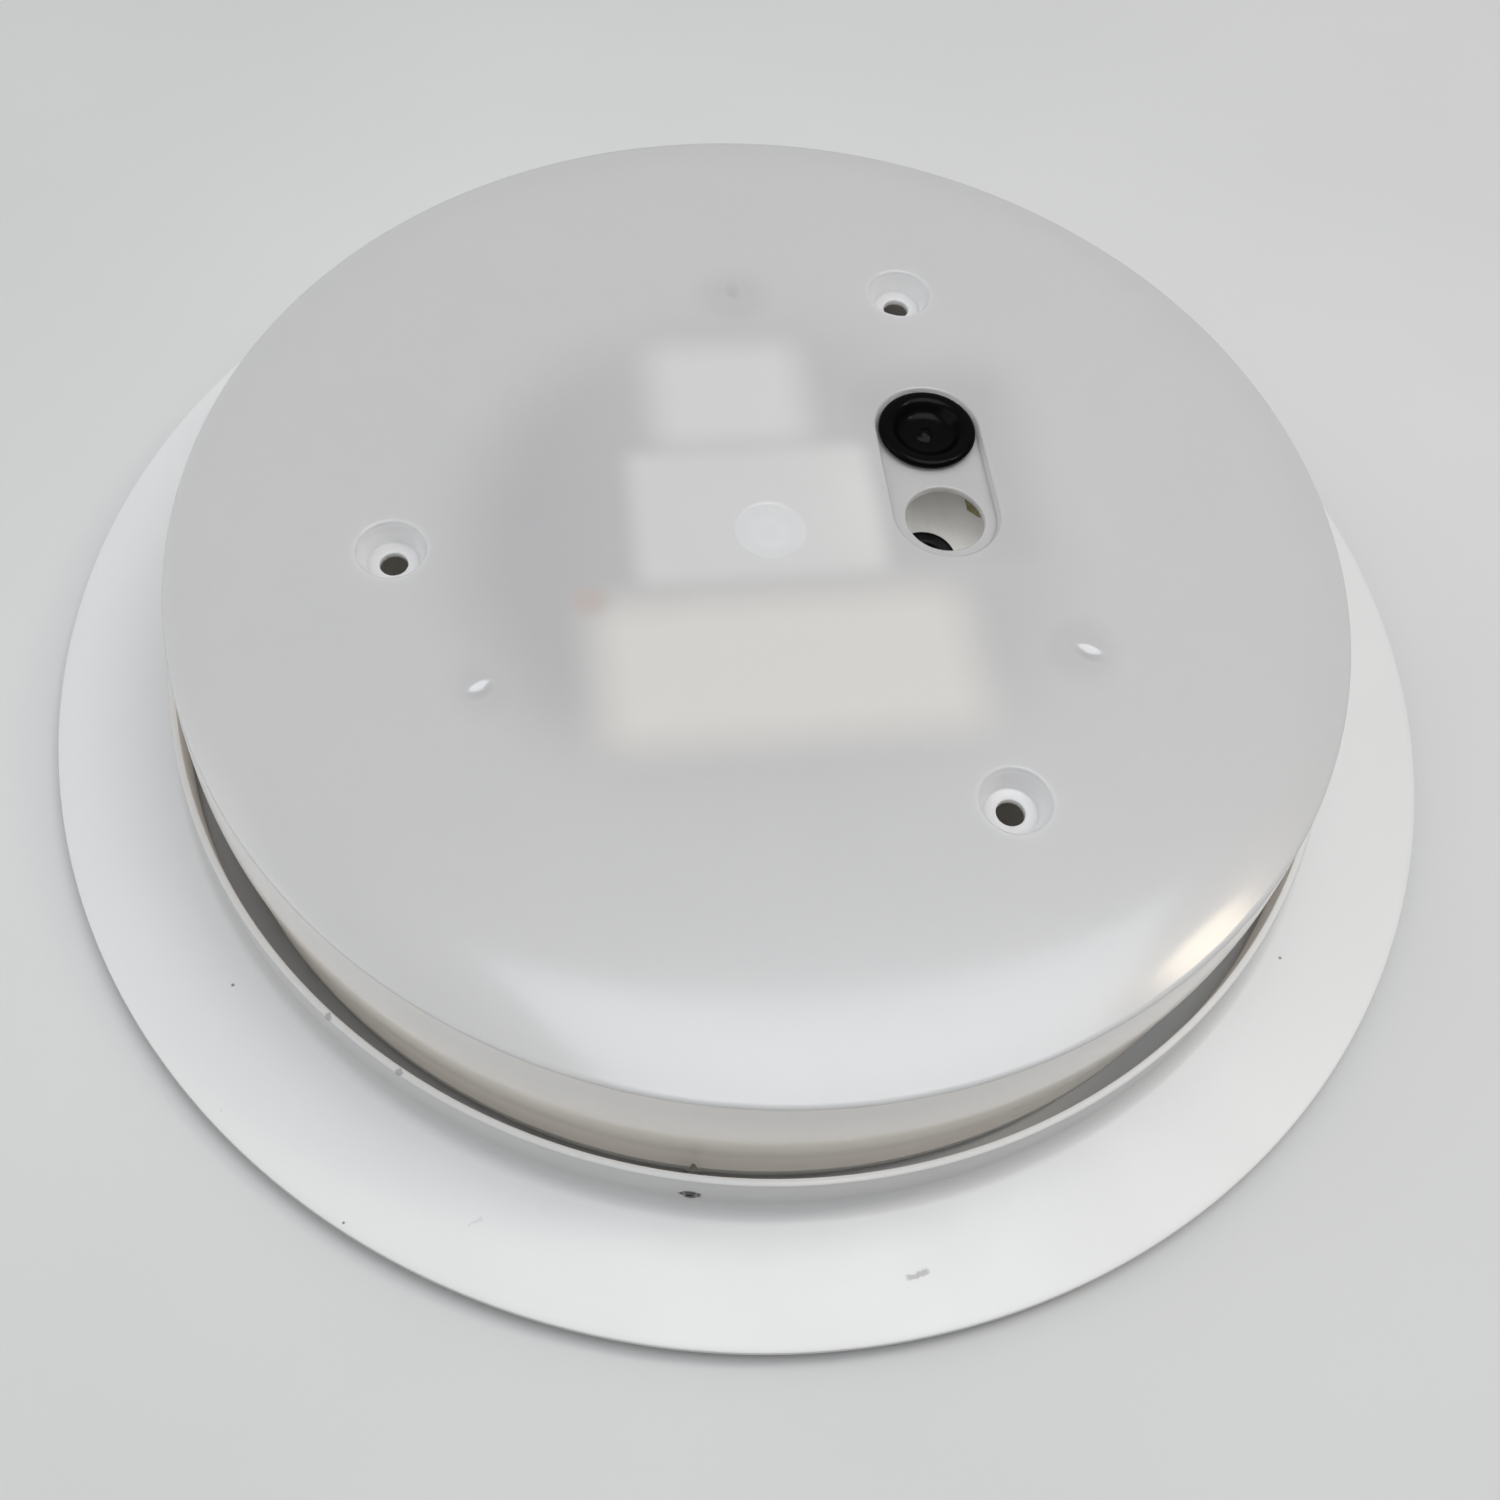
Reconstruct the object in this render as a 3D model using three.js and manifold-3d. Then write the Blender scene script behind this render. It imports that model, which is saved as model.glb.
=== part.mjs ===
// Round ceiling light with an opal back, an opal front diffuser and a white trim ring.
// Millimetres. +Z points out of the back, towards the ceiling. The origin is the middle of the flat front.
import * as THREE from "three";
import { mergeVertices } from "three/addons/utils/BufferGeometryUtils.js";
import Module from "manifold-3d";

const wasm = await Module();
wasm.setup();

// ---- Driving dimensions ----
const GAP = 0.3; // between neighbouring pieces that touch on the real light
const ROUND = 60; // sides of the large round pieces
const CREASE_R = 150; // where the shoulder meets the side wall
const DEPTH = 61; // front face to back face
const SHOULDER_DROP = 2; // the back face falls this much to the crease
const SHOULDER_WIDTH = 20;
const WALL_R = 149.6; // straight side wall, inside the collar
const BULGE_R = 151.4; // widest line of the body, halfway down the side wall
const BULGE_Z = 40;
const WALL = 2.3;
const HOUSING_FRONT_Z = 9.3;
const RING_R = 189.5;
const COLLAR_R = 155; // inside
const SHEET = 2;
const BEND_R = 4.8; // collar to flange, on the outer side
const FLANGE_Z = 4.5; // front side of the flange
const COLLAR_TOP_Z = 24.5;
const FIXING_R = 95; // circle of the three mounting holes
const FIXING_ANGLES = [60, 180, 300];
const BOSS_R = 86; // circle of the three tray bosses
const BOSS_ANGLES = [90, 210, 330];
const ENTRY_X = 46.8; // centre line of the two cable entries
const ENTRY_OPEN_Y = 3;
const ENTRY_GROMMET_Y = 32;
const ENTRY_HOLE_R = 10.4;
const ENTRY_RECESS_R = 13.8;
const ENTRY_RECESS_DEPTH = 2.5;
const TRAY_R = 83;
const TRAY_Z = 33; // back side of the gear tray
const TRAY_SHEET = 1.2;
const BOARD_SHEET = 1.6;
const BUSH_X = 46.4; // rubber bush where the lamp leads pass through the tray
const BUSH_Y = 8.4;
const BUSH_R = 8.7;
const SET_SCREW_ANGLES = [17.5, 137.5, 257.5];
const SET_SCREW_Z = 13.8;
const SET_SCREW_R = 2;
const SET_SCREW_LENGTH = 7.6;
const SET_SCREW_OUTER_R = 157.5; // outer end, half a millimetre proud of the collar

const CREASE_Z = DEPTH - SHOULDER_DROP;
const FLANGE_TOP_Z = FLANGE_Z + SHEET;
const TRAY_FRONT_Z = TRAY_Z - TRAY_SHEET;
const BOARD_BACK_Z = TRAY_FRONT_Z - GAP;
const BOARD_FRONT_Z = BOARD_BACK_Z - BOARD_SHEET;
const ON_TRAY_Z = TRAY_Z + GAP;

// Fixing cups
const CUP_DEPTH = 6;
const CUP_TOP_R = 8.5;
const CUP_BOTTOM_R = 6.5;
const CUP_WALL = 2;
const FIXING_HOLE_R = 3.5;

// Gear tray and what stands on it
const TRAY_RIM = 4; // turned down round the edge
const EAR_R = 8; // round each tray screw
const DRIVER = { x0: -48.5, x1: 48.5, y0: -58, y1: -13, ear: 6.5 };
const DRIVER_CASE_TOP = ON_TRAY_Z + 14;
const DRIVER_LID_TOP = ON_TRAY_Z + 21.5;
const SENSOR = { x0: -34, x1: 32, y0: -10, y1: 33, ear: 5 };
const SENSOR_CASE_TOP = ON_TRAY_Z + 12;
const SENSOR_LID_TOP = ON_TRAY_Z + 16;
const TERMINAL = { x0: -23, x1: 17, y0: 39, y1: 75, top: ON_TRAY_Z + 17 };
const BUTTON_POLES = ["live", "neutral", "earth"];
const BUTTON_PITCH = 12;
const BUTTON_SIZE = 6;
const BUTTON_Y = 62;
const BUTTON_TRAVEL = 1.5;
const BUTTON_PROUD = 2.2; // above the block

// Lamp board, under the tray
const BOARD_R = 78;
const BOARD_SCREW_R = 70;
const BOARD_SCREW_ANGLES = [0, 120, 240];
const LAMP_RINGS = [[64, 24], [40, 12]]; // radius, number of lamps
const LAMP_SIZE = 3;
const LAMP_HEIGHT = 0.8;
const CONNECTOR = { x: BUSH_X, y: 26, half: 4, height: 4.5 };
const LAMP_LEAD_Z = ON_TRAY_Z + 3.4;

// Front diffuser
const SHOULDER_Z = HOUSING_FRONT_Z - GAP;
const SPIGOT_R = 144;
const SPIGOT_TOP_Z = 16;
const FLAT_R = 138; // where the rounded edge starts

// ---- Materials ----
function finish(color, roughness, metalness = 0) {
  return new THREE.MeshStandardMaterial({ color, roughness, metalness });
}
const OPAL = finish(0xc8c8c6, 0.35);
const DIFFUSER = finish(0xe9e9e6, 0.4);
const WHITE_PAINT = finish(0xe4e5e6, 0.4);
const RUBBER = finish(0x0c0c0d, 0.55);
const SILICONE = finish(0xd6d4cc, 0.6);
const TRAY_STEEL = finish(0x92918d, 0.5, 0.5);
const BRIGHT_STEEL = finish(0x9b9a96, 0.28, 1);
const CREAM_PLASTIC = finish(0xe3dccb, 0.5);
const GREY_PLASTIC = finish(0xcfd2d1, 0.5);
const WHITE_PLASTIC = finish(0xe6e4e0, 0.45);
const ORANGE_PLASTIC = finish(0xc8692b, 0.45);
const BOARD_GREEN = finish(0x55573f, 0.6);
const RED_LEAD = finish(0xa01812, 0.5);
const BLACK_LEAD = finish(0x151515, 0.5);
const BROWN_LEAD = finish(0x5b3620, 0.5);
const BLUE_LEAD = finish(0x1d4f8c, 0.5);

// ---- Solids ----
// A closed geometry as a manifold, facing out whichever way its profile ran.
function solid(geometry) {
  const bare = geometry.index ? geometry.toNonIndexed() : geometry.clone();
  bare.deleteAttribute("normal");
  bare.deleteAttribute("uv");
  const merged = mergeVertices(bare, 1e-4);
  const index = merged.index.array;
  const kept = [];
  for (let i = 0; i < index.length; i += 3) {
    const [a, b, c] = [index[i], index[i + 1], index[i + 2]];
    if (a !== b && b !== c && c !== a) kept.push(a, b, c);
  }
  const vertProperties = merged.attributes.position.array;
  const made = build(vertProperties, kept);
  if (made.volume() > 0) return made;
  for (let i = 0; i < kept.length; i += 3) {
    [kept[i + 1], kept[i + 2]] = [kept[i + 2], kept[i + 1]];
  }
  return build(vertProperties, kept);
}

function build(vertProperties, triangles) {
  const triVerts = new Uint32Array(triangles);
  return new wasm.Manifold(new wasm.Mesh({ numProp: 3, vertProperties, triVerts }));
}

function toGeometry(manifold) {
  const { vertProperties, triVerts } = manifold.getMesh();
  const geometry = new THREE.BufferGeometry();
  geometry.setAttribute("position", new THREE.BufferAttribute(vertProperties, 3));
  geometry.setIndex(new THREE.BufferAttribute(triVerts, 1));
  geometry.computeVertexNormals();
  return geometry;
}

// Profile points are [radius, z].
function lathe(profile, segments) {
  const points = profile.map(([r, z]) => new THREE.Vector2(r, z));
  return solid(new THREE.LatheGeometry(points, segments).rotateX(Math.PI / 2));
}

// A ring whose closed profile doesn't touch the axis.
function latheRing(profile, segments) {
  return lathe([...profile, profile[0]], segments);
}

function cylinder(radius, z0, z1, x = 0, y = 0, segments = 24, topRadius = radius) {
  const geometry = new THREE.CylinderGeometry(topRadius, radius, z1 - z0, segments);
  geometry.rotateX(Math.PI / 2);
  return solid(geometry.translate(x, y, (z0 + z1) / 2));
}

function box(x0, x1, y0, y1, z0, z1) {
  const geometry = new THREE.BoxGeometry(x1 - x0, y1 - y0, z1 - z0);
  return solid(geometry.translate((x0 + x1) / 2, (y0 + y1) / 2, (z0 + z1) / 2));
}

function extrude(shape, z0, z1, curveSegments = 6) {
  const settings = { depth: z1 - z0, bevelEnabled: false, curveSegments };
  return solid(new THREE.ExtrudeGeometry(shape, settings).translate(0, 0, z0));
}

function roundedBox(x0, x1, y0, y1, z0, z1, radius) {
  const shape = new THREE.Shape();
  shape.absarc(x1 - radius, y0 + radius, radius, -Math.PI / 2, 0);
  shape.absarc(x1 - radius, y1 - radius, radius, 0, Math.PI / 2);
  shape.absarc(x0 + radius, y1 - radius, radius, Math.PI / 2, Math.PI);
  shape.absarc(x0 + radius, y0 + radius, radius, Math.PI, Math.PI * 1.5);
  return extrude(shape, z0, z1, 2);
}

function chamferedBox(x0, x1, y0, y1, z0, z1, cut) {
  const corners = [
    [x0 + cut, y0],
    [x1 - cut, y0],
    [x1, y0 + cut],
    [x1, y1 - cut],
    [x1 - cut, y1],
    [x0 + cut, y1],
    [x0, y1 - cut],
    [x0, y0 + cut],
  ];
  return extrude(new THREE.Shape(corners.map(([x, y]) => new THREE.Vector2(x, y))), z0, z1);
}

// A slot along Y with round ends about (x, y0) and (x, y1).
function slotAlongY(x, y0, y1, radius, z0, z1, segments = 12) {
  const shape = new THREE.Shape();
  shape.absarc(x, y1, radius, 0, Math.PI);
  shape.absarc(x, y0, radius, Math.PI, Math.PI * 2);
  return extrude(shape, z0, z1, segments);
}

function polar(radius, degrees) {
  const a = THREE.MathUtils.degToRad(degrees);
  return [radius * Math.cos(a), radius * Math.sin(a)];
}

function arcPoints(cx, cz, radius, from, to, steps) {
  const points = [];
  for (let i = 0; i <= steps; i += 1) {
    const [x, z] = polar(radius, from + ((to - from) * i) / steps);
    points.push([cx + x, cz + z]);
  }
  return points;
}

function joined(parts) {
  return parts.reduce((whole, part) => whole.add(part));
}

function lessAll(whole, cuts) {
  return cuts.reduce((left, cut) => left.subtract(cut), whole);
}

// ---- Scene graph ----
const group = new THREE.Group();

function place(name, manifold, material, parent = group) {
  const mesh = new THREE.Mesh(toGeometry(manifold), material);
  mesh.name = name;
  parent.add(mesh);
  return mesh;
}

// A pan-head screw, its head below z and its shank above it, about the local Z axis.
function panScrew(headRadius, headHeight, shankRadius, shankLength) {
  const profile = [
    [0, -headHeight],
    [headRadius * 0.65, -headHeight],
    [headRadius, -headHeight * 0.45],
    [headRadius, 0],
    [shankRadius, 0],
    [shankRadius, shankLength - shankRadius],
    [0, shankLength],
  ];
  const drive = box(-headRadius * 0.55, headRadius * 0.55, -0.4, 0.4, -headHeight - 1, -headHeight * 0.45);
  const cross = drive.add(drive.rotate([0, 0, 90]));
  return lathe(profile, 10).subtract(cross);
}

function placeScrew(name, shape, x, y, z, towardsBack) {
  const mesh = place(name, shape, BRIGHT_STEEL);
  mesh.position.set(x, y, z);
  if (!towardsBack) mesh.rotation.x = Math.PI;
}

// ---- Back housing ----
// The shoulder's height above the crease: flat, then falling ever faster to the crease.
function shoulderPoints(offset) {
  const points = [];
  const steps = 4;
  for (let i = 0; i <= steps; i += 1) {
    const t = i / steps;
    const radius = CREASE_R - SHOULDER_WIDTH * (1 - t);
    points.push([radius - offset * 0.7 * t, DEPTH - offset - SHOULDER_DROP * t ** 2.5]);
  }
  return points;
}

// The side wall from the crease down: out to the bulge, then back in to the straight wall.
function bulgePoints(offset) {
  const outline = [
    [CREASE_R + 0.75, BULGE_Z + 12],
    [BULGE_R, BULGE_Z + 3],
    [BULGE_R, BULGE_Z - 4],
    [WALL_R + 0.9, BULGE_Z - 12],
    [WALL_R, BULGE_Z - 21],
  ];
  return outline.map(([radius, z]) => [radius - offset, z]);
}

function housingPan() {
  const profile = [
    [0, DEPTH],
    ...shoulderPoints(0),
    ...bulgePoints(0),
    [WALL_R, HOUSING_FRONT_Z],
    [WALL_R - WALL, HOUSING_FRONT_Z],
    ...bulgePoints(WALL).reverse(),
    ...shoulderPoints(WALL).reverse(),
    [0, DEPTH - WALL],
  ];
  return lathe(profile, ROUND);
}

function fixingCup(x, y, grow, z0, z1) {
  return cylinder(CUP_BOTTOM_R + grow, z0, z1, x, y, 20, CUP_TOP_R + grow);
}

function backHousing() {
  const inside = DEPTH - WALL;
  const padBottom = inside - ENTRY_RECESS_DEPTH;
  const recessFloor = DEPTH - ENTRY_RECESS_DEPTH;
  const low = ENTRY_OPEN_Y;
  const high = ENTRY_GROMMET_Y;
  const added = [slotAlongY(ENTRY_X, low, high, ENTRY_RECESS_R + CUP_WALL, padBottom, inside + 0.5)];
  const cuts = [slotAlongY(ENTRY_X, low, high, ENTRY_RECESS_R, recessFloor, DEPTH + 1)];
  for (const y of [low, high]) {
    cuts.push(cylinder(ENTRY_HOLE_R, padBottom - 1, DEPTH + 1, ENTRY_X, y, 32));
  }
  for (const angle of FIXING_ANGLES) {
    const [x, y] = polar(FIXING_R, angle);
    const cupBottom = DEPTH - CUP_DEPTH;
    added.push(fixingCup(x, y, CUP_WALL, cupBottom - CUP_WALL, inside + 0.5));
    cuts.push(fixingCup(x, y, 0, cupBottom, DEPTH + 0.02));
    cuts.push(cylinder(FIXING_HOLE_R, cupBottom - CUP_WALL - 1, DEPTH, x, y, 16));
  }
  for (const angle of BOSS_ANGLES) {
    const [x, y] = polar(BOSS_R, angle);
    added.push(cylinder(4.2, TRAY_Z + GAP, inside + 0.5, x, y, 14, 4.8));
    cuts.push(cylinder(1.7, TRAY_Z, TRAY_Z + 13, x, y, 10));
  }
  const gateRing = cylinder(9, DEPTH - 0.5, DEPTH + 1, 0, 0, 24, 9.4);
  const gateDome = cylinder(5.2, DEPTH - 1, DEPTH - 0.1, 0, 0, 24, 4.2);
  cuts.push(gateRing.subtract(gateDome));
  return lessAll(joined([housingPan(), ...added]), cuts);
}

place("back_housing", backHousing(), OPAL);

// ---- Cable grommet: a lip in the recess, a neck through the wall and a dished membrane ----
function cableGrommet() {
  const floor = DEPTH - ENTRY_RECESS_DEPTH + GAP;
  const under = DEPTH - WALL - ENTRY_RECESS_DEPTH - GAP;
  const neck = ENTRY_HOLE_R - GAP - 0.1;
  const lipR = 1.05;
  const lip = arcPoints(13.2 - lipR, floor + lipR, lipR, -90, 100, 4);
  const profile = [
    [0, under - 0.9],
    [neck - 2.2, under - 1.4],
    [neck - 0.8, under - 1.6],
    [neck + 1.9, under - 0.9],
    [neck + 1.6, under],
    [neck, under],
    [neck, floor],
    ...lip,
    [9.2, floor + 1.75],
    [7.4, floor + 0.6],
    [3, floor - 0.7],
    [1.1, floor - 0.6],
    [0, floor - 0.1],
  ];
  return lathe(profile, 32).translate([ENTRY_X, ENTRY_GROMMET_Y, 0]);
}

place("cable_grommet", cableGrommet(), RUBBER);

// ---- Gear tray ----

function gearTray() {
  const profile = [
    [0, TRAY_FRONT_Z],
    [TRAY_R - TRAY_SHEET, TRAY_FRONT_Z],
    [TRAY_R - TRAY_SHEET, TRAY_FRONT_Z - TRAY_RIM],
    [TRAY_R, TRAY_FRONT_Z - TRAY_RIM],
    [TRAY_R, TRAY_Z],
    [0, TRAY_Z],
  ];
  const parts = [lathe(profile, 48)];
  const cuts = [
    cylinder(BUSH_R - 2.2, TRAY_FRONT_Z - 1, TRAY_Z + 1, BUSH_X, BUSH_Y, 24),
    chamferedBox(62, 72, 22.5, 33, TRAY_FRONT_Z - 1, TRAY_Z + 1, 2.8),
    chamferedBox(-72, -62, 22.5, 33, TRAY_FRONT_Z - 1, TRAY_Z + 1, 2.8),
  ];
  for (const angle of BOSS_ANGLES) {
    const [x, y] = polar(BOSS_R, angle);
    parts.push(cylinder(EAR_R, TRAY_FRONT_Z, TRAY_Z, x, y, 20));
    cuts.push(cylinder(6, TRAY_FRONT_Z - TRAY_RIM - 1, TRAY_FRONT_Z, x, y, 16));
    cuts.push(cylinder(2.1, TRAY_FRONT_Z - 1, TRAY_Z + 1, x, y, 10));
  }
  for (const [x, y] of trayHoles()) {
    cuts.push(cylinder(1.9, TRAY_FRONT_Z - 1, TRAY_Z + 1, x, y, 8));
  }
  return lessAll(joined(parts), cuts);
}

// Screw positions on the tray, by what each screw holds.

function driverScrewPlaces() {
  const y = (DRIVER.y0 + DRIVER.y1) / 2;
  return [[DRIVER.x0 - DRIVER.ear / 2, y], [DRIVER.x1 + DRIVER.ear / 2, y]];
}

function sensorScrewPlaces() {
  return [[SENSOR.x0 - SENSOR.ear / 2, 22], [SENSOR.x0 - SENSOR.ear / 2, -2]];
}

function boardScrewPlaces() {
  return BOARD_SCREW_ANGLES.map((angle) => polar(BOARD_SCREW_R, angle));
}

function trayHoles() {
  return [...driverScrewPlaces(), ...sensorScrewPlaces(), ...boardScrewPlaces()];
}

place("gear_tray", gearTray(), TRAY_STEEL);

const trayScrew = panScrew(3.8, 2.4, 1.4, 11);
BOSS_ANGLES.forEach((angle, i) => {
  const [x, y] = polar(BOSS_R, angle);
  placeScrew(`tray_screw_${i + 1}`, trayScrew, x, y, TRAY_FRONT_Z - GAP, true);
});

// ---- Rubber bush that takes the lamp leads through the tray ----
function wireBush() {
  const profile = [
    [BUSH_R - 4.3, TRAY_FRONT_Z - 1.8],
    [BUSH_R - 1, TRAY_FRONT_Z - 1.8],
    [BUSH_R - 1, TRAY_FRONT_Z - GAP],
    [BUSH_R - 2.6, TRAY_FRONT_Z - GAP],
    [BUSH_R - 2.6, ON_TRAY_Z],
    [BUSH_R, ON_TRAY_Z],
    [BUSH_R, ON_TRAY_Z + 1.4],
    [BUSH_R - 0.8, ON_TRAY_Z + 2.2],
    [BUSH_R - 3.5, ON_TRAY_Z + 2.2],
    [BUSH_R - 4.3, ON_TRAY_Z + 1.4],
  ];
  return latheRing(profile, 20).translate([BUSH_X, BUSH_Y, 0]);
}

place("wire_bush", wireBush(), RUBBER);

// ---- Lamp driver: case with two ears, lid and screws ----

function driverCase() {
  const { x0, x1, y0, y1, ear } = DRIVER;
  const middle = (y0 + y1) / 2;
  const body = roundedBox(x0, x1, y0, y1, ON_TRAY_Z, DRIVER_CASE_TOP, 2.5);
  const ears = roundedBox(x0 - ear, x1 + ear, middle - 7, middle + 7, ON_TRAY_Z, ON_TRAY_Z + 2.5, 2);
  const hollow = roundedBox(x0 + 2, x1 - 2, y0 + 2, y1 - 2, ON_TRAY_Z + 2, DRIVER_CASE_TOP + 1, 1.5);
  const cuts = driverScrewPlaces().map(([x, y]) => {
    return cylinder(1.9, ON_TRAY_Z - 1, ON_TRAY_Z + 4, x, y, 12);
  });
  return lessAll(body.add(ears), [hollow, ...cuts]);
}

function driverLid() {
  const { x0, x1, y0, y1 } = DRIVER;
  const bottom = DRIVER_CASE_TOP + GAP;
  const outer = roundedBox(x0, x1, y0, y1, bottom, DRIVER_LID_TOP - 1, 2.5);
  const crown = roundedBox(x0 + 1, x1 - 1, y0 + 1, y1 - 1, bottom, DRIVER_LID_TOP, 2.5);
  const hollow = roundedBox(x0 + 2, x1 - 2, y0 + 2, y1 - 2, bottom - 1, DRIVER_LID_TOP - 2, 1.5);
  return outer.add(crown).subtract(hollow);
}

place("driver_case", driverCase(), CREAM_PLASTIC);
place("driver_lid", driverLid(), CREAM_PLASTIC);

const driverScrew = panScrew(2.9, 2, 1.4, 7);
driverScrewPlaces().forEach(([x, y], i) => {
  placeScrew(`driver_screw_${i + 1}`, driverScrew, x, y, ON_TRAY_Z + 2.5 + GAP, false);
});

// ---- Circuit board inside the driver, with its transformer and capacitor ----
function driverBoard() {
  const { x0, x1, y0, y1 } = DRIVER;
  const bottom = ON_TRAY_Z + 4;
  const board = box(x0 + 2.5, x1 - 2.5, y0 + 2.5, y1 - 2.5, bottom, bottom + BOARD_SHEET);
  const top = bottom + BOARD_SHEET - 0.1;
  const transformer = roundedBox(-12, 10, -48, -24, top, top + 11, 1);
  const capacitor = cylinder(5, top, top + 10.5, 28, -36, 20);
  const filter = roundedBox(-38, -24, -44, -28, top, top + 9, 1);
  const feet = [[-40, -50], [40, -50], [-40, -20], [40, -20]].map(([x, y]) => {
    return cylinder(2, ON_TRAY_Z + 2 + GAP, bottom + 0.1, x, y, 10);
  });
  return joined([board, transformer, capacitor, filter, ...feet]);
}

place("driver_board", driverBoard(), BOARD_GREEN);

// ---- Sensor module: case, lid and screws ----

function sensorCase() {
  const { x0, x1, y0, y1, ear } = SENSOR;
  const body = roundedBox(x0, x1, y0, y1, ON_TRAY_Z, SENSOR_CASE_TOP, 2);
  const ears = roundedBox(x0 - ear, x0 + 4, y0 + 3, y1 - 6, ON_TRAY_Z, ON_TRAY_Z + 2.5, 1.5);
  const hollow = roundedBox(x0 + 1.8, x1 - 1.8, y0 + 1.8, y1 - 1.8, ON_TRAY_Z + 1.8, SENSOR_CASE_TOP + 1, 1);
  const cuts = sensorScrewPlaces().map(([x, y]) => {
    return cylinder(1.9, ON_TRAY_Z - 1, ON_TRAY_Z + 4, x, y, 12);
  });
  return lessAll(body.add(ears), [hollow, ...cuts]);
}

function sensorLid() {
  const { x0, x1, y0, y1 } = SENSOR;
  const bottom = SENSOR_CASE_TOP + GAP;
  const outer = roundedBox(x0, x1, y0, y1, bottom, SENSOR_LID_TOP - 0.8, 2);
  const crown = roundedBox(x0 + 0.8, x1 - 0.8, y0 + 0.8, y1 - 0.8, bottom, SENSOR_LID_TOP, 2);
  const hollow = roundedBox(x0 + 1.8, x1 - 1.8, y0 + 1.8, y1 - 1.8, bottom - 1, SENSOR_LID_TOP - 1.8, 1);
  return outer.add(crown).subtract(hollow);
}

function sensorBoard() {
  const { x0, x1, y0, y1 } = SENSOR;
  const bottom = ON_TRAY_Z + 4;
  const board = box(x0 + 2.3, x1 - 2.3, y0 + 2.3, y1 - 2.3, bottom, bottom + BOARD_SHEET);
  const aerial = roundedBox(-20, 2, 4, 24, bottom + BOARD_SHEET - 0.1, bottom + BOARD_SHEET + 2, 1);
  const relay = roundedBox(8, 24, -2, 12, bottom + BOARD_SHEET - 0.1, bottom + 8, 0.8);
  const feet = [[-26, -4], [24, -4], [-26, 26], [24, 26]].map(([x, y]) => {
    return cylinder(1.8, ON_TRAY_Z + 1.8 + GAP, bottom + 0.1, x, y, 10);
  });
  return joined([board, aerial, relay, ...feet]);
}

place("sensor_case", sensorCase(), GREY_PLASTIC);
place("sensor_lid", sensorLid(), GREY_PLASTIC);
place("sensor_board", sensorBoard(), BOARD_GREEN);

const sensorScrew = panScrew(2.4, 1.8, 1.4, 7);
sensorScrewPlaces().forEach(([x, y], i) => {
  placeScrew(`sensor_screw_${i + 1}`, sensorScrew, x, y, ON_TRAY_Z + 2.5 + GAP, false);
});

// ---- Mains terminal block with three release buttons ----
const buttonX = (i) => (TERMINAL.x0 + TERMINAL.x1) / 2 + (i - 1) * BUTTON_PITCH;

function terminalBlock() {
  const { x0, x1, y0, y1, top } = TERMINAL;
  const body = roundedBox(x0, x1, y0, y1, ON_TRAY_Z, top, 1.5);
  const cuts = [];
  BUTTON_POLES.forEach((_, i) => {
    const x = buttonX(i);
    const half = BUTTON_SIZE / 2 + GAP;
    cuts.push(box(x - half, x + half, BUTTON_Y - half, BUTTON_Y + half, top - 8, top + 1));
    const entry = new THREE.CylinderGeometry(2.3, 2.3, 12, 12).translate(x, y1 - 4, ON_TRAY_Z + 5.5);
    cuts.push(solid(entry));
    const outlet = new THREE.CylinderGeometry(1.8, 1.8, 12, 12).translate(x, y0 + 4, ON_TRAY_Z + 5.5);
    cuts.push(solid(outlet));
  });
  return lessAll(body, cuts);
}

function terminalButton() {
  const half = BUTTON_SIZE / 2;
  const stem = box(-half, half, -half, half, -8 + GAP + BUTTON_TRAVEL, BUTTON_PROUD);
  const screwdriverSlot = box(-half - 1, half + 1, -0.5, 0.5, BUTTON_PROUD - 0.9, BUTTON_PROUD + 1);
  return stem.subtract(screwdriverSlot);
}

place("terminal_block", terminalBlock(), WHITE_PLASTIC);

const buttonShape = terminalButton();
BUTTON_POLES.forEach((pole, i) => {
  const mesh = place(`terminal_button_${pole}`, buttonShape, ORANGE_PLASTIC);
  mesh.position.set(buttonX(i), BUTTON_Y, TERMINAL.top);
});

// ---- Lamp board on the front of the tray, with its packages, connector and screws ----

function lampPlaces() {
  const places = [];
  for (const [radius, count] of LAMP_RINGS) {
    for (let i = 0; i < count; i += 1) {
      const [x, y] = polar(radius, (360 * (i + 0.5)) / count);
      const nearBush = Math.hypot(x - BUSH_X, y - BUSH_Y) < 12;
      const nearPlug = Math.hypot(x - CONNECTOR.x, y - CONNECTOR.y) < 8;
      if (!nearBush && !nearPlug) places.push([x, y]);
    }
  }
  return places;
}

function lampBoard() {
  const disc = cylinder(BOARD_R, BOARD_FRONT_Z, BOARD_BACK_Z, 0, 0, 48);
  const half = LAMP_SIZE / 2;
  const lamps = lampPlaces().map(([x, y]) => {
    return box(x - half, x + half, y - half, y + half, BOARD_FRONT_Z - LAMP_HEIGHT, BOARD_FRONT_Z + 0.1);
  });
  const cuts = trayHoles().map(([x, y]) => {
    const radius = Math.hypot(x, y) === BOARD_SCREW_R ? 1.9 : 3.4;
    return cylinder(radius, BOARD_FRONT_Z - 1, BOARD_BACK_Z + 1, x, y, 8);
  });
  cuts.push(cylinder(BUSH_R, BOARD_FRONT_Z - 1, BOARD_BACK_Z + 1, BUSH_X, BUSH_Y, 24));
  return lessAll(joined([disc, ...lamps]), cuts);
}

place("lamp_board", lampBoard(), finish(0xecebe6, 0.5));

const boardScrew = panScrew(2.9, 1.8, 1.4, 5);
boardScrewPlaces().forEach(([x, y], i) => {
  placeScrew(`board_screw_${i + 1}`, boardScrew, x, y, BOARD_FRONT_Z - GAP, true);
});

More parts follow.
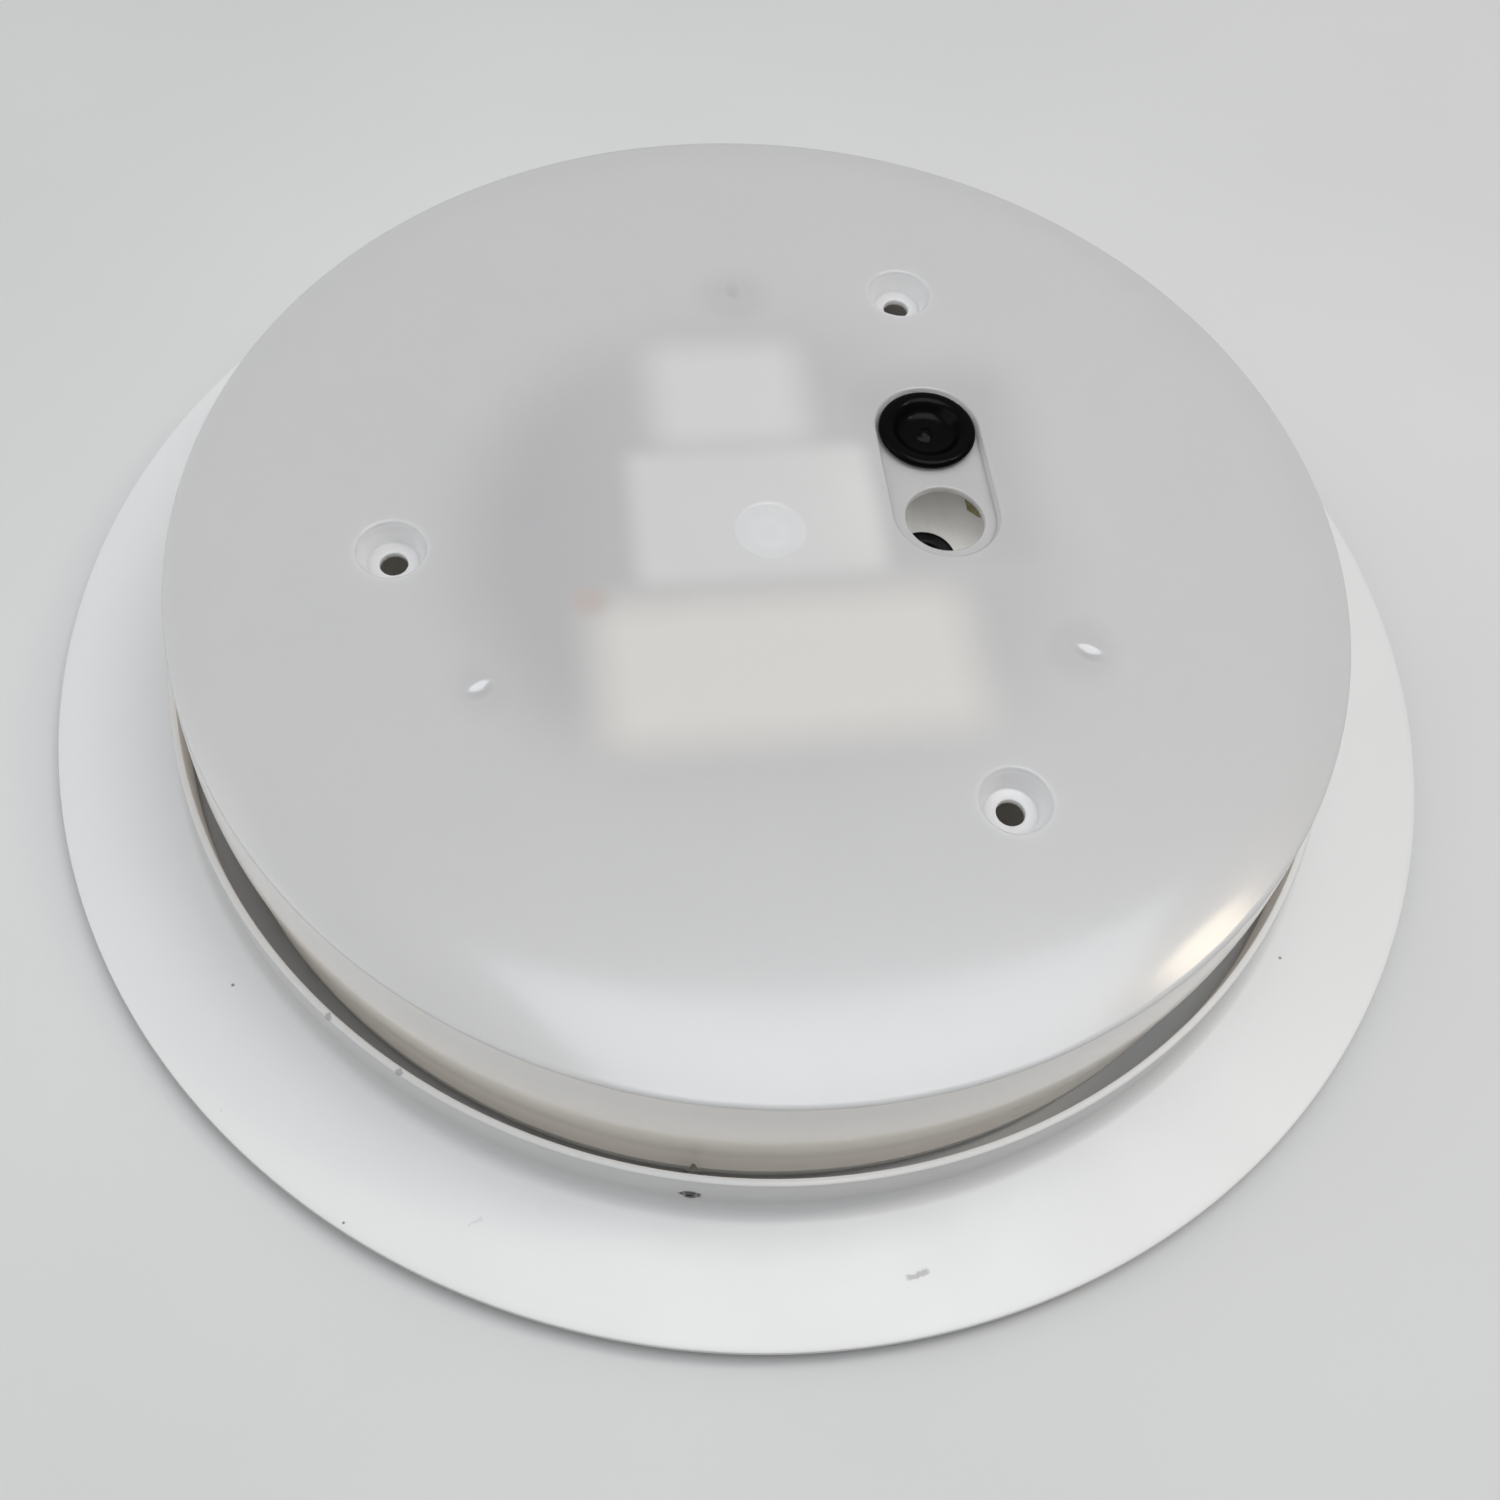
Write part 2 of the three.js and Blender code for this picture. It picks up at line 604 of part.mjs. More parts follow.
function lampConnector() {
  const { x, y, half, height } = CONNECTOR;
  const z1 = BOARD_FRONT_Z - GAP;
  const body = box(x - half, x + half, y - half, y + half, z1 - height, z1);
  const sockets = [-1.6, 1.6].map((dx) => {
    return box(x + dx - 1.2, x + dx + 1.2, y - half - 1, y - half + 2, z1 - 3.4, z1 - 1);
  });
  return lessAll(body, sockets);
}

place("lamp_connector", lampConnector(), WHITE_PLASTIC);

// ---- Leads, each one tube along its whole route ----
function lead(points, radius, steps) {
  const curve = new THREE.CatmullRomCurve3(points.map((p) => new THREE.Vector3(...p)), false, "centripetal");
  const section = new THREE.Shape();
  section.absarc(0, 0, radius, 0, Math.PI * 2);
  return solid(new THREE.ExtrudeGeometry(section, { extrudePath: curve, steps, curveSegments: 3 }));
}

// Two leads leave the driver's right end, cross low to the bush, and plug in at the front.
function lampLead(side) {
  const plugZ = BOARD_FRONT_Z - GAP - 2.2;
  const x = BUSH_X + side * 1.6;
  return [
    [DRIVER.x1 + GAP, -20 - side * 1.7, LAMP_LEAD_Z],
    [DRIVER.x1 + 4, -20 - side * 1.7, LAMP_LEAD_Z],
    [DRIVER.x1 + 7 + side * 1.3, -15 - side * 0.8, LAMP_LEAD_Z],
    [x + 4.5, -5, LAMP_LEAD_Z + 0.2],
    [x + 1, 2, LAMP_LEAD_Z + 0.8],
    [x, 6.5, LAMP_LEAD_Z + 0.7],
    [x, 9.8, ON_TRAY_Z + 1],
    [x, 10.2, BOARD_BACK_Z],
    [x, 11.2, BOARD_FRONT_Z - 0.5],
    [x, 14.5, plugZ + 0.1],
    [x, CONNECTOR.y - CONNECTOR.half - 3, plugZ],
    [x, CONNECTOR.y - CONNECTOR.half + 1, plugZ],
  ];
}

// Two leads run from the terminal block's outlets round the sensor module to the driver's left end.
// lane 0 is the inner one, and lane 1 runs outside it and crosses above it.
function mainsLead(outletX, lane) {
  const z = ON_TRAY_Z + 5.5;
  const raised = z + lane * 4;
  const outward = lane * 4;
  return [
    [outletX, TERMINAL.y0 + 2, z],
    [outletX, TERMINAL.y0 - 0.4, z],
    [outletX - 2, TERMINAL.y0 - 2.6, z + lane * 1.5],
    [outletX - 6, TERMINAL.y0 - 3, raised],
    [-30, TERMINAL.y0 - 3.2, raised],
    [-39 - outward, 31, raised],
    [-42.5 - outward, 22, raised],
    [-43.5 - outward, 10, z],
    [-49 - outward, -1, z],
    [-53.5 - outward, -9, z],
    [-53.8 - outward, -13.5 - lane * 2.5, z],
    [-52 - outward * 0.9, -17.2 - lane * 4, z],
    [DRIVER.x0 - GAP, -18 - lane * 4.6, z],
  ];
}

place("lamp_lead_red", lead(lampLead(1), 0.9, 30), RED_LEAD);
place("lamp_lead_black", lead(lampLead(-1), 0.9, 30), BLACK_LEAD);
place("mains_lead_live", lead(mainsLead(buttonX(0), 0), 1.1, 36), BROWN_LEAD);
place("mains_lead_neutral", lead(mainsLead(buttonX(1), 1), 1.1, 36), BLUE_LEAD);

// ---- Front diffuser and its seal ----

function frontDiffuser() {
  const wall = 2.4;
  const edge = [];
  const steps = 4;
  for (let i = 0; i <= steps; i += 1) {
    const a = ((i / steps) * Math.PI) / 2;
    const r = FLAT_R + (WALL_R - FLAT_R) * Math.sin(a);
    edge.push([r, (SHOULDER_Z - 1.5) * (1 - Math.cos(a))]);
  }
  const profile = [
    [0, 0],
    ...edge,
    [WALL_R, SHOULDER_Z],
    [SPIGOT_R, SHOULDER_Z],
    [SPIGOT_R, SPIGOT_TOP_Z - 0.6],
    [SPIGOT_R - 0.6, SPIGOT_TOP_Z],
    [SPIGOT_R - wall, SPIGOT_TOP_Z],
    [SPIGOT_R - wall, wall + 3],
    [SPIGOT_R - wall - 3, wall],
    [0, wall],
  ];
  return lathe(profile, ROUND);
}

function diffuserSeal() {
  const inner = SPIGOT_R + GAP;
  const outer = WALL_R - WALL - GAP;
  const low = SHOULDER_Z + GAP;
  return latheRing([[inner, low], [outer, low], [outer, low + 2.4], [inner, low + 2.8]], ROUND);
}

place("front_diffuser", frontDiffuser(), DIFFUSER);
place("diffuser_seal", diffuserSeal(), SILICONE);

// ---- Trim ring: flange, bend and collar in one sheet ----
function trimRing() {
  const outerWall = COLLAR_R + SHEET;
  const bendX = outerWall + BEND_R;
  const bendZ = FLANGE_TOP_Z + BEND_R;
  const profile = [
    [RING_R - 0.4, FLANGE_Z],
    [RING_R, FLANGE_Z + 0.4],
    [RING_R, FLANGE_TOP_Z - 0.4],
    [RING_R - 0.4, FLANGE_TOP_Z],
    ...arcPoints(bendX, bendZ, BEND_R, 270, 180, 3),
    [outerWall, COLLAR_TOP_Z - 0.4],
    [outerWall - 0.4, COLLAR_TOP_Z],
    [COLLAR_R + 0.4, COLLAR_TOP_Z],
    [COLLAR_R, COLLAR_TOP_Z - 0.4],
    ...arcPoints(bendX, bendZ, BEND_R + SHEET, 180, 270, 3),
  ];
  const cuts = SET_SCREW_ANGLES.map((angle) => {
    const hole = new THREE.CylinderGeometry(SET_SCREW_R + GAP, SET_SCREW_R + GAP, 12, 16);
    hole.rotateZ(Math.PI / 2).translate(COLLAR_R + 1, 0, SET_SCREW_Z);
    return solid(hole.rotateZ(THREE.MathUtils.degToRad(angle)));
  });
  return lessAll(latheRing(profile, ROUND), cuts);
}

place("trim_ring", trimRing(), WHITE_PAINT);

// A cone-point set screw with a hex socket, its outer end at the origin and its point along local -Z.
function setScrew() {
  const profile = [
    [0, -SET_SCREW_LENGTH],
    [0.5, -SET_SCREW_LENGTH + 0.1],
    [SET_SCREW_R, -SET_SCREW_LENGTH + 1.6],
    [SET_SCREW_R, -0.4],
    [SET_SCREW_R - 0.4, 0],
    [0, 0],
  ];
  const socket = cylinder(1.15, -2.5, 1, 0, 0, 6);
  return lathe(profile, 14).subtract(socket);
}

const setScrewShape = setScrew();
SET_SCREW_ANGLES.forEach((angle, i) => {
  const arm = new THREE.Group();
  arm.rotation.z = THREE.MathUtils.degToRad(angle);
  group.add(arm);
  const mesh = place(`set_screw_${i + 1}`, setScrewShape, BRIGHT_STEEL, arm);
  mesh.position.set(SET_SCREW_OUTER_R, 0, SET_SCREW_Z);
  mesh.rotation.y = Math.PI / 2;
});

export default group;
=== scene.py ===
"""A round ceiling light lying on its front: an opal back housing over its gear, held in a white trim ring."""

import math

import bmesh
import bpy
from mathutils import Matrix, Vector


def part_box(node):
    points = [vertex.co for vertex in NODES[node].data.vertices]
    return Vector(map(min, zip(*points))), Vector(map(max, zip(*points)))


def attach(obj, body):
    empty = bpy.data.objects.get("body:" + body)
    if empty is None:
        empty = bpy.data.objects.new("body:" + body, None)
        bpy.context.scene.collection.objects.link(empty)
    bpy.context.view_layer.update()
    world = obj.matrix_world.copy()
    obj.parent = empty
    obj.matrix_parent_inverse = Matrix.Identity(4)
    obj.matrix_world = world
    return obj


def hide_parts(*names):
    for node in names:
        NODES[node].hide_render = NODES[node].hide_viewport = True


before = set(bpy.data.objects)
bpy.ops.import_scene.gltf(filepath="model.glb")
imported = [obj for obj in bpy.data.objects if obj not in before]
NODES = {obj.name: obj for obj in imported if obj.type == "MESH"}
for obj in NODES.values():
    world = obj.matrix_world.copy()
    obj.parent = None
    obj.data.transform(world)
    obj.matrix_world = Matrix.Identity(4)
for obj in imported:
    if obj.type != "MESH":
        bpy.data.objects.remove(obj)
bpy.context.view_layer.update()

MM = 0.001  # one millimetre in the scene's metres
ROUND = 240  # sides of the housing's round outline

# ---- Sizes read from the frame ----
HOUSING_LOW, HOUSING_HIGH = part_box("back_housing")
RING_LOW, RING_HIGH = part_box("trim_ring")
GROMMET_LOW, GROMMET_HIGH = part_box("cable_grommet")
BUSH_LOW, BUSH_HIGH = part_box("wire_bush")
TRAY_TOP_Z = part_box("gear_tray")[1].z
DIFFUSER_TOP_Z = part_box("front_diffuser")[1].z
HOUSING_FOOT_Z = HOUSING_LOW.z
BACK_Z = HOUSING_HIGH.z
BULGE_R = HOUSING_HIGH.x
ENTRY_X = (GROMMET_LOW.x + GROMMET_HIGH.x) / 2
GROMMET_Y = (GROMMET_LOW.y + GROMMET_HIGH.y) / 2
FLANGE_Z = RING_LOW.z

# ---- Back housing, as in the CAD part ----
FLAT_R = 120 * MM
SHOULDER_DROP = 2 * MM
CREASE_R = 150 * MM
CREASE_Z = BACK_Z - SHOULDER_DROP
BULGE_Z = 40 * MM
WALL_R = 149.6 * MM
WALL = 2.3 * MM
OPEN_ENTRY_Y = GROMMET_Y - 29 * MM
ENTRY_HOLE_R = 10.4 * MM
RECESS_R = 13.8 * MM
RECESS_DEPTH = 2.5 * MM
FIXING_R = 95 * MM
FIXING_ANGLES = (60, 180, 300)
CUP_DEPTH = 6 * MM
BOSS_R = 86 * MM
BOSS_ANGLES = (90, 210, 330)
BORE_DEPTH = 12 * MM
DENT_ALONG, DENT_ACROSS, DENT_DEPTH = 5 * MM, 2.7 * MM, 0.62 * MM

# ---- Trim ring and set screws, as in the CAD part ----
COLLAR_R = 155 * MM
SHEET = 2 * MM
COLLAR_OUTER_R = COLLAR_R + SHEET
BEND_R = 4.8 * MM
FLANGE_TOP_Z = FLANGE_Z + SHEET
SET_SCREW_R = 2 * MM
SET_SCREW_HOLE_R = 2.3 * MM
SET_SCREW_LENGTH = 7.6 * MM
SET_SCREW_END_R = 157.5 * MM
SET_SCREW_Z = 13.8 * MM
SET_SCREW_ANGLES = (17.5, 137.5, 257.5)

# ---- Front diffuser, as in the CAD part ----
DIFFUSER_FLAT_R = 138 * MM
SPIGOT_R = 144 * MM
DIFFUSER_WALL = 2.4 * MM

# ---- Camera: the photograph's view of the object ----
VIEW_TURN = Matrix.Rotation(math.radians(-13.65), 4, "Z")
VIEW_ELEVATION = math.radians(59.46)
VIEW_ROLL = math.radians(7.99)
VIEW_DISTANCE, VIEW_ACROSS, VIEW_ABOVE = 441.998 * MM, 1.951 * MM, -28.011 * MM
SENSOR_WIDTH, FOCAL_LENGTH = 36, 37.188  # Blender takes both in millimetres
SHIFT_X, SHIFT_Y = 0.00173, -0.00169


def make_camera():
    back = Vector((0, -math.cos(VIEW_ELEVATION), math.sin(VIEW_ELEVATION)))
    right = Vector((1, 0, 0))
    up = Vector((0, math.sin(VIEW_ELEVATION), math.cos(VIEW_ELEVATION)))
    place = back * VIEW_DISTANCE + right * VIEW_ACROSS + up * VIEW_ABOVE + Vector((0, 0, FLANGE_TOP_Z))
    turned_right = right * math.cos(VIEW_ROLL) + up * math.sin(VIEW_ROLL)
    turned_up = up * math.cos(VIEW_ROLL) - right * math.sin(VIEW_ROLL)
    columns = Matrix((turned_right, turned_up, back)).transposed().to_4x4()
    data = bpy.data.cameras.new("camera")
    data.sensor_width = SENSOR_WIDTH
    data.lens = FOCAL_LENGTH
    data.clip_start, data.clip_end = 0.01, 20
    data.shift_x, data.shift_y = SHIFT_X, SHIFT_Y
    camera = bpy.data.objects.new("camera", data)
    bpy.context.scene.collection.objects.link(camera)
    camera.matrix_world = VIEW_TURN @ Matrix.Translation(place) @ columns
    bpy.context.scene.camera = camera


# ---- Mesh helpers ----
def add_mesh(name, bm, material, body, replaced, sharp):
    """Makes the piece that stands in for those CAD nodes, with edges over sharp degrees left hard."""
    bmesh.ops.recalc_face_normals(bm, faces=bm.faces)
    mesh = bpy.data.meshes.new(name)
    bm.to_mesh(mesh)
    bm.free()
    piece = bpy.data.objects.new(name, mesh)
    bpy.context.scene.collection.objects.link(piece)
    mesh.materials.append(material)
    smooth(piece, sharp)
    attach(piece, body)
    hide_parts(*replaced)
    return piece


def smooth(piece, sharp):
    mesh = piece.data
    mesh.polygons.foreach_set("use_smooth", [True] * len(mesh.polygons))
    bm = bmesh.new()
    bm.from_mesh(mesh)
    limit = math.radians(sharp)
    for edge in bm.edges:
        edge.smooth = len(edge.link_faces) == 2 and edge.calc_face_angle(0) < limit
    bm.to_mesh(mesh)
    bm.free()


def weight_normals(piece):
    modifier = piece.modifiers.new("even_normals", "WEIGHTED_NORMAL")
    modifier.keep_sharp = True
    modifier.weight = 80


def polar(radius, degrees):
    a = math.radians(degrees)
    return radius * math.cos(a), radius * math.sin(a)


def arc(cx, cz, radius, start, end, steps):
    points = []
    for i in range(steps + 1):
        x, z = polar(radius, start + (end - start) * i / steps)
        points.append((cx + x, cz + z))
    return points


def soft_corner(x, z, side_x, side_z):
    """Three points round a sheet's corner, from its level side to its upright side."""
    reach, cut = 0.7 * MM, 0.2 * MM
    return [(x + side_x * reach, z), (x + side_x * cut, z + side_z * cut), (x, z + side_z * reach)]


def raised(points, z):
    """Turns (size, height above z) in millimetres into (size, z) in metres."""
    return [(size * MM, z + height * MM) for size, height in points]


def circle(x, y, radius, segments):
    points = []
    for i in range(segments):
        a = 2 * math.pi * i / segments
        points.append((x + radius * math.cos(a), y + radius * math.sin(a)))
    return points


def circles_about(x, y, segments):
    """The outline function for sweep that gives a circle of any radius about (x, y)."""
    def outline(radius):
        return circle(x, y, radius, segments)

    return outline


def stadium(x, low, high, radius, segments=40):
    """Outline about two centres in line, counterclockwise from above."""
    points = []
    for y, start in ((high, 0), (low, math.pi)):
        for i in range(segments + 1):
            a = start + math.pi * i / segments
            points.append((x + radius * math.cos(a), y + radius * math.sin(a)))
    return points


def lathe(profile, segments, centre=(0, 0)):
    """A solid of revolution about Z. Profile points are (radius, z); points on the axis become one vertex."""
    bm = bmesh.new()
    rows = []
    for radius, z in profile:
        outline = circle(*centre, radius, segments) if radius else [centre]
        rows.append([bm.verts.new((x, y, z)) for x, y in outline])
    pairs = list(zip(rows, rows[1:]))
    if all(len(row) > 1 for row in rows):
        pairs.append((rows[-1], rows[0]))
    for lower, upper in pairs:
        for i in range(segments):
            j = (i + 1) % segments
            if len(lower) == 1:
                bm.faces.new((lower[0], upper[i], upper[j]))
            elif len(upper) == 1:
                bm.faces.new((lower[i], lower[j], upper[0]))
            else:
                bm.faces.new((lower[i], lower[j], upper[j], upper[i]))
    return bm


def loop(bm, outline, z):
    """A closed loop of vertices and edges."""
    verts = [bm.verts.new((x, y, z)) for x, y in outline]
    for a, b in neighbours(verts):
        bm.edges.new((a, b))
    return verts


def neighbours(verts):
    return list(zip(verts, verts[1:] + verts[:1]))


def bridge(bm, lower, upper):
    for (a, b), (d, c) in zip(neighbours(lower), neighbours(upper)):
        bm.faces.new((a, b, c, d))


def sweep(bm, verts, outline_at, steps):
    """Carries a loop on through (size, z) steps and returns the last loop's vertices."""
    for size, z in steps:
        row = [bm.verts.new((x, y, z)) for x, y in outline_at(size)]
        bridge(bm, verts, row)
        verts = row
    return verts


def close_to_point(bm, verts, place):
    """Closes a loop with a fan of triangles."""
    tip = bm.verts.new(place)
    for a, b in neighbours(verts):
        bm.faces.new((a, b, tip))


def fill(bm, loops):
    """Fills a flat face between its outer loop and the loops in it."""
    edges = []
    for verts in loops:
        for a, b in neighbours(verts):
            edges.append(next(e for e in a.link_edges if e.other_vert(a) is b))
    bmesh.ops.triangle_fill(bm, use_beauty=True, use_dissolve=False, edges=edges)


# ---- Back housing: flat back with cups, stadium recess, dents and gate mark; shoulder, crease and wall ----
def shoulder(offset, steps):
    """Falls from the flat to the crease, more steeply towards the crease. An offset gives the inner face."""
    fall, lean = 3.2, 0.7
    points = []
    for i in range(1, steps + 1):
        t = i / steps
        r = FLAT_R + (CREASE_R - FLAT_R) * t
        points.append((r - offset * lean * t, BACK_Z - offset - SHOULDER_DROP * t ** fall))
    return points


def bulge(offset):
    """From the crease out to the widest line and back in to the straight wall."""
    outline = [
        (CREASE_R + 0.3 * MM, CREASE_Z - 3 * MM),
        (CREASE_R + 0.75 * MM, BULGE_Z + 12 * MM),
        (BULGE_R - 0.3 * MM, BULGE_Z + 7 * MM),
        (BULGE_R - 0.03 * MM, BULGE_Z + 3 * MM),
        (BULGE_R, BULGE_Z),
        (BULGE_R - 0.05 * MM, BULGE_Z - 3.5 * MM),
        (BULGE_R - 0.4 * MM, BULGE_Z - 8 * MM),
        (WALL_R + 0.85 * MM, BULGE_Z - 12.5 * MM),
        (WALL_R + 0.3 * MM, BULGE_Z - 17 * MM),
        (WALL_R, BULGE_Z - 21 * MM),
    ]
    return [(radius - offset, z) for radius, z in outline]


def housing_side():
    """From the flat's rim over the shoulder and crease, down the wall and up inside it."""
    outer = shoulder(0, 22)
    outer[-1] = (CREASE_R - 0.35 * MM, CREASE_Z + 0.12 * MM)
    inner = shoulder(WALL, 8)
    inner[-1] = (CREASE_R - 2.4 * MM, CREASE_Z - WALL)
    inner.reverse()
    edge = 0.5 * MM
    return [
        *outer,
        (CREASE_R - 0.02 * MM, CREASE_Z - 0.15 * MM),
        (CREASE_R + 0.06 * MM, CREASE_Z - 0.45 * MM),
        (CREASE_R - 0.08 * MM, CREASE_Z - 0.8 * MM),
        (CREASE_R - 0.1 * MM, CREASE_Z - 1.3 * MM),
        *bulge(0),
        (WALL_R, HOUSING_FOOT_Z + edge),
        (WALL_R - edge, HOUSING_FOOT_Z),
        (WALL_R - WALL + edge, HOUSING_FOOT_Z),
        (WALL_R - WALL, HOUSING_FOOT_Z + edge),
        *reversed(bulge(WALL)),
        *inner,
    ]


def recess_feature(bm, inner_z):
    """The recess and its two cable entries. Returns its loops in the back face and in the inner face."""
    floor = BACK_Z - RECESS_DEPTH
    under_floor = inner_z - RECESS_DEPTH

    def outline(growth):
        return stadium(ENTRY_X, OPEN_ENTRY_Y, GROMMET_Y, RECESS_R + growth)

    top = loop(bm, outline(0.9 * MM), BACK_Z)
    steps = raised([(0.55, -0.1), (0.25, -0.35), (0.1, -0.8)], BACK_Z)
    steps += raised([(0, 0.6), (-0.15, 0.2), (-0.5, 0)], floor)
    floor_loops = [sweep(bm, top, outline, steps)]
    under = loop(bm, outline(2.5 * MM), inner_z)
    steps = raised([(2.2, -0.3)], inner_z) + raised([(2, 0.4), (1.7, 0)], under_floor)
    under_floor_loops = [sweep(bm, under, outline, steps)]
    for y in (OPEN_ENTRY_Y, GROMMET_Y):
        mouth, end = entry_hole(bm, y, floor, under_floor)
        floor_loops.append(mouth)
        under_floor_loops.append(end)
    fill(bm, floor_loops)
    fill(bm, under_floor_loops)
    return top, under


def entry_hole(bm, y, floor, under_floor):
    """One cable entry. Returns its loops in the recess floor and under it."""
    def outline(growth):
        return circle(ENTRY_X, y, ENTRY_HOLE_R + growth, 72)

    mouth = loop(bm, outline(0.45 * MM), floor)
    steps = raised([(0.15, -0.1), (0, -0.4)], floor) + raised([(0, 0.3), (0.3, 0)], under_floor)
    return mouth, sweep(bm, mouth, outline, steps)


def cup_feature(bm, x, y, inner_z):
    """A fixing cup with its screw hole. Returns its loops in the back face and in the inner face."""
    outline = circles_about(x, y, 56)
    floor = BACK_Z - CUP_DEPTH
    top = loop(bm, outline(9.3 * MM), BACK_Z)
    steps = raised([(8.95, -0.08), (8.6, -0.4), (8.4, -1)], BACK_Z)
    steps += raised([(6.9, 1), (6.6, 0.35), (6.1, 0), (3.9, 0), (3.6, -0.12), (3.5, -0.4)], floor)
    steps += raised([(3.5, -1.8), (3.8, -2), (8, -2), (8.5, -1.6)], floor)
    steps += raised([(10.3, -0.3), (10.7, 0)], inner_z)
    return top, sweep(bm, top, outline, steps)


def dent_feature(bm, x, y, angle):
    """A shallow oval dent, longest along the radius. Returns its loop in the back face."""
    radial = Vector(polar(DENT_ALONG, angle))
    around = Vector(polar(DENT_ACROSS, angle + 90))

    def outline(size):
        steps = [polar(size, 9 * i) for i in range(40)]
        return [(x + radial.x * c + around.x * d, y + radial.y * c + around.y * d) for c, d in steps]

    top = loop(bm, outline(1), BACK_Z)
    steps = []
    for i in range(9, 0, -1):
        t = i / 10
        steps.append((t, BACK_Z - DENT_DEPTH * (0.5 + 0.5 * math.cos(math.pi * t))))
    close_to_point(bm, sweep(bm, top, outline, steps), (x, y, BACK_Z - DENT_DEPTH))
    return top


def gate_feature(bm):
    """The moulding's gate: a shallow ring with a low dome in it. Returns its loop in the back face."""
    outline = circles_about(0, 0, 72)
    top = loop(bm, outline(9.5 * MM), BACK_Z)
    steps = [(9.2, -0.03), (8.8, -0.16), (8.2, -0.24), (6.6, -0.24), (5.9, -0.2), (5.2, -0.11), (4.6, -0.01)]
    steps += [(4, 0.03), (3, 0), (2.2, -0.08), (1.4, -0.14), (0.8, -0.16)]
    close_to_point(bm, sweep(bm, top, outline, raised(steps, BACK_Z)), (0, 0, BACK_Z - 0.16 * MM))
    return top


def boss_feature(bm, x, y, inner_z):
    """The inside of a tray boss, with its screw bore. Returns its loop in the inner face."""
    outline = circles_about(x, y, 32)
    bottom = TRAY_TOP_Z + 0.3 * MM
    bore_r = 1.7 * MM
    base = loop(bm, outline(5.4 * MM), inner_z)
    steps = [(4.9 * MM, inner_z - 0.4 * MM), (4.2 * MM, bottom)]
    steps += [(bore_r, bottom), (bore_r, bottom + BORE_DEPTH)]
    close_to_point(bm, sweep(bm, base, outline, steps), (x, y, bottom + BORE_DEPTH + 0.6 * MM))
    return base


def make_housing(material):
    bm = bmesh.new()
    inner_z = BACK_Z - WALL
    outline = circles_about(0, 0, ROUND)
    outer_rim = loop(bm, outline(FLAT_R), BACK_Z)
    inner_rim = sweep(bm, outer_rim, outline, [*housing_side(), (FLAT_R, inner_z)])
    through = [recess_feature(bm, inner_z)]
    through += [cup_feature(bm, *polar(FIXING_R, angle), inner_z) for angle in FIXING_ANGLES]
    outer_loops = [outer_rim] + [top for top, under in through]
    inner_loops = [inner_rim] + [under for top, under in through]
    for angle in BOSS_ANGLES:
        x, y = polar(BOSS_R, angle)
        outer_loops.append(dent_feature(bm, x, y, angle))
        inner_loops.append(boss_feature(bm, x, y, inner_z))
    outer_loops.append(gate_feature(bm))
    fill(bm, outer_loops)
    fill(bm, inner_loops)
    piece = add_mesh("housing_shell", bm, material, "housing", ["back_housing"], 50)
    weight_normals(piece)


# ---- Trim ring: flange, bend and collar in one sheet, with three screw holes ----
def cut_holes(piece, radius, low, high, angles, z):
    """Bores radial holes through a lathed wall and keeps the result as the piece's own mesh."""
    bm = bmesh.new()
    for angle in angles:
        turn = Matrix.Rotation(math.radians(angle), 4, "Z")
        place = turn @ Matrix.Translation(((low + high) / 2, 0, z)) @ Matrix.Rotation(math.pi / 2, 4, "Y")
        bmesh.ops.create_cone(bm, cap_ends=True, segments=40, radius1=radius, radius2=radius,
                              depth=high - low, matrix=place)
    mesh = bpy.data.meshes.new("drill")
    bm.to_mesh(mesh)
    bm.free()
    drill = bpy.data.objects.new("drill", mesh)
    bpy.context.scene.collection.objects.link(drill)
    modifier = piece.modifiers.new("holes", "BOOLEAN")
    modifier.operation = "DIFFERENCE"
    modifier.solver = "EXACT"
    modifier.object = drill
    graph = bpy.context.evaluated_depsgraph_get()
    cut = bpy.data.meshes.new_from_object(piece.evaluated_get(graph))
    piece.modifiers.clear()
    old = piece.data
    piece.data = cut
    cut.name = piece.name
    bpy.data.meshes.remove(old)
    bpy.data.objects.remove(drill)
    bpy.data.meshes.remove(mesh)


def make_ring(material):
    bend_x, bend_z = COLLAR_OUTER_R + BEND_R, FLANGE_TOP_Z + BEND_R
    edge, top = RING_HIGH.x, RING_HIGH.z
    sharp = 40
    profile = [
        *soft_corner(edge, FLANGE_Z, -1, 1),
        *reversed(soft_corner(edge, FLANGE_TOP_Z, -1, -1)),
        (edge - 2 * MM, FLANGE_TOP_Z),
        (COLLAR_OUTER_R + 22 * MM, FLANGE_TOP_Z),
        (COLLAR_OUTER_R + 10 * MM, FLANGE_TOP_Z),
        *arc(bend_x, bend_z, BEND_R, 270, 180, 10),
        (COLLAR_OUTER_R, top - 8 * MM),
        *reversed(soft_corner(COLLAR_OUTER_R, top, -1, -1)),
        *soft_corner(COLLAR_R, top, 1, -1),
        (COLLAR_R, top - 8 * MM),
        *arc(bend_x, bend_z, BEND_R + SHEET, 180, 270, 10),
    ]
    piece = add_mesh("ring_sheet", lathe(profile, 360), material, "ring", ["trim_ring"], sharp)
    drill_from, drill_to = COLLAR_R - 2 * MM, COLLAR_OUTER_R + 2 * MM
    cut_holes(piece, SET_SCREW_HOLE_R, drill_from, drill_to, SET_SCREW_ANGLES, SET_SCREW_Z)
    smooth(piece, sharp)
    weight_normals(piece)


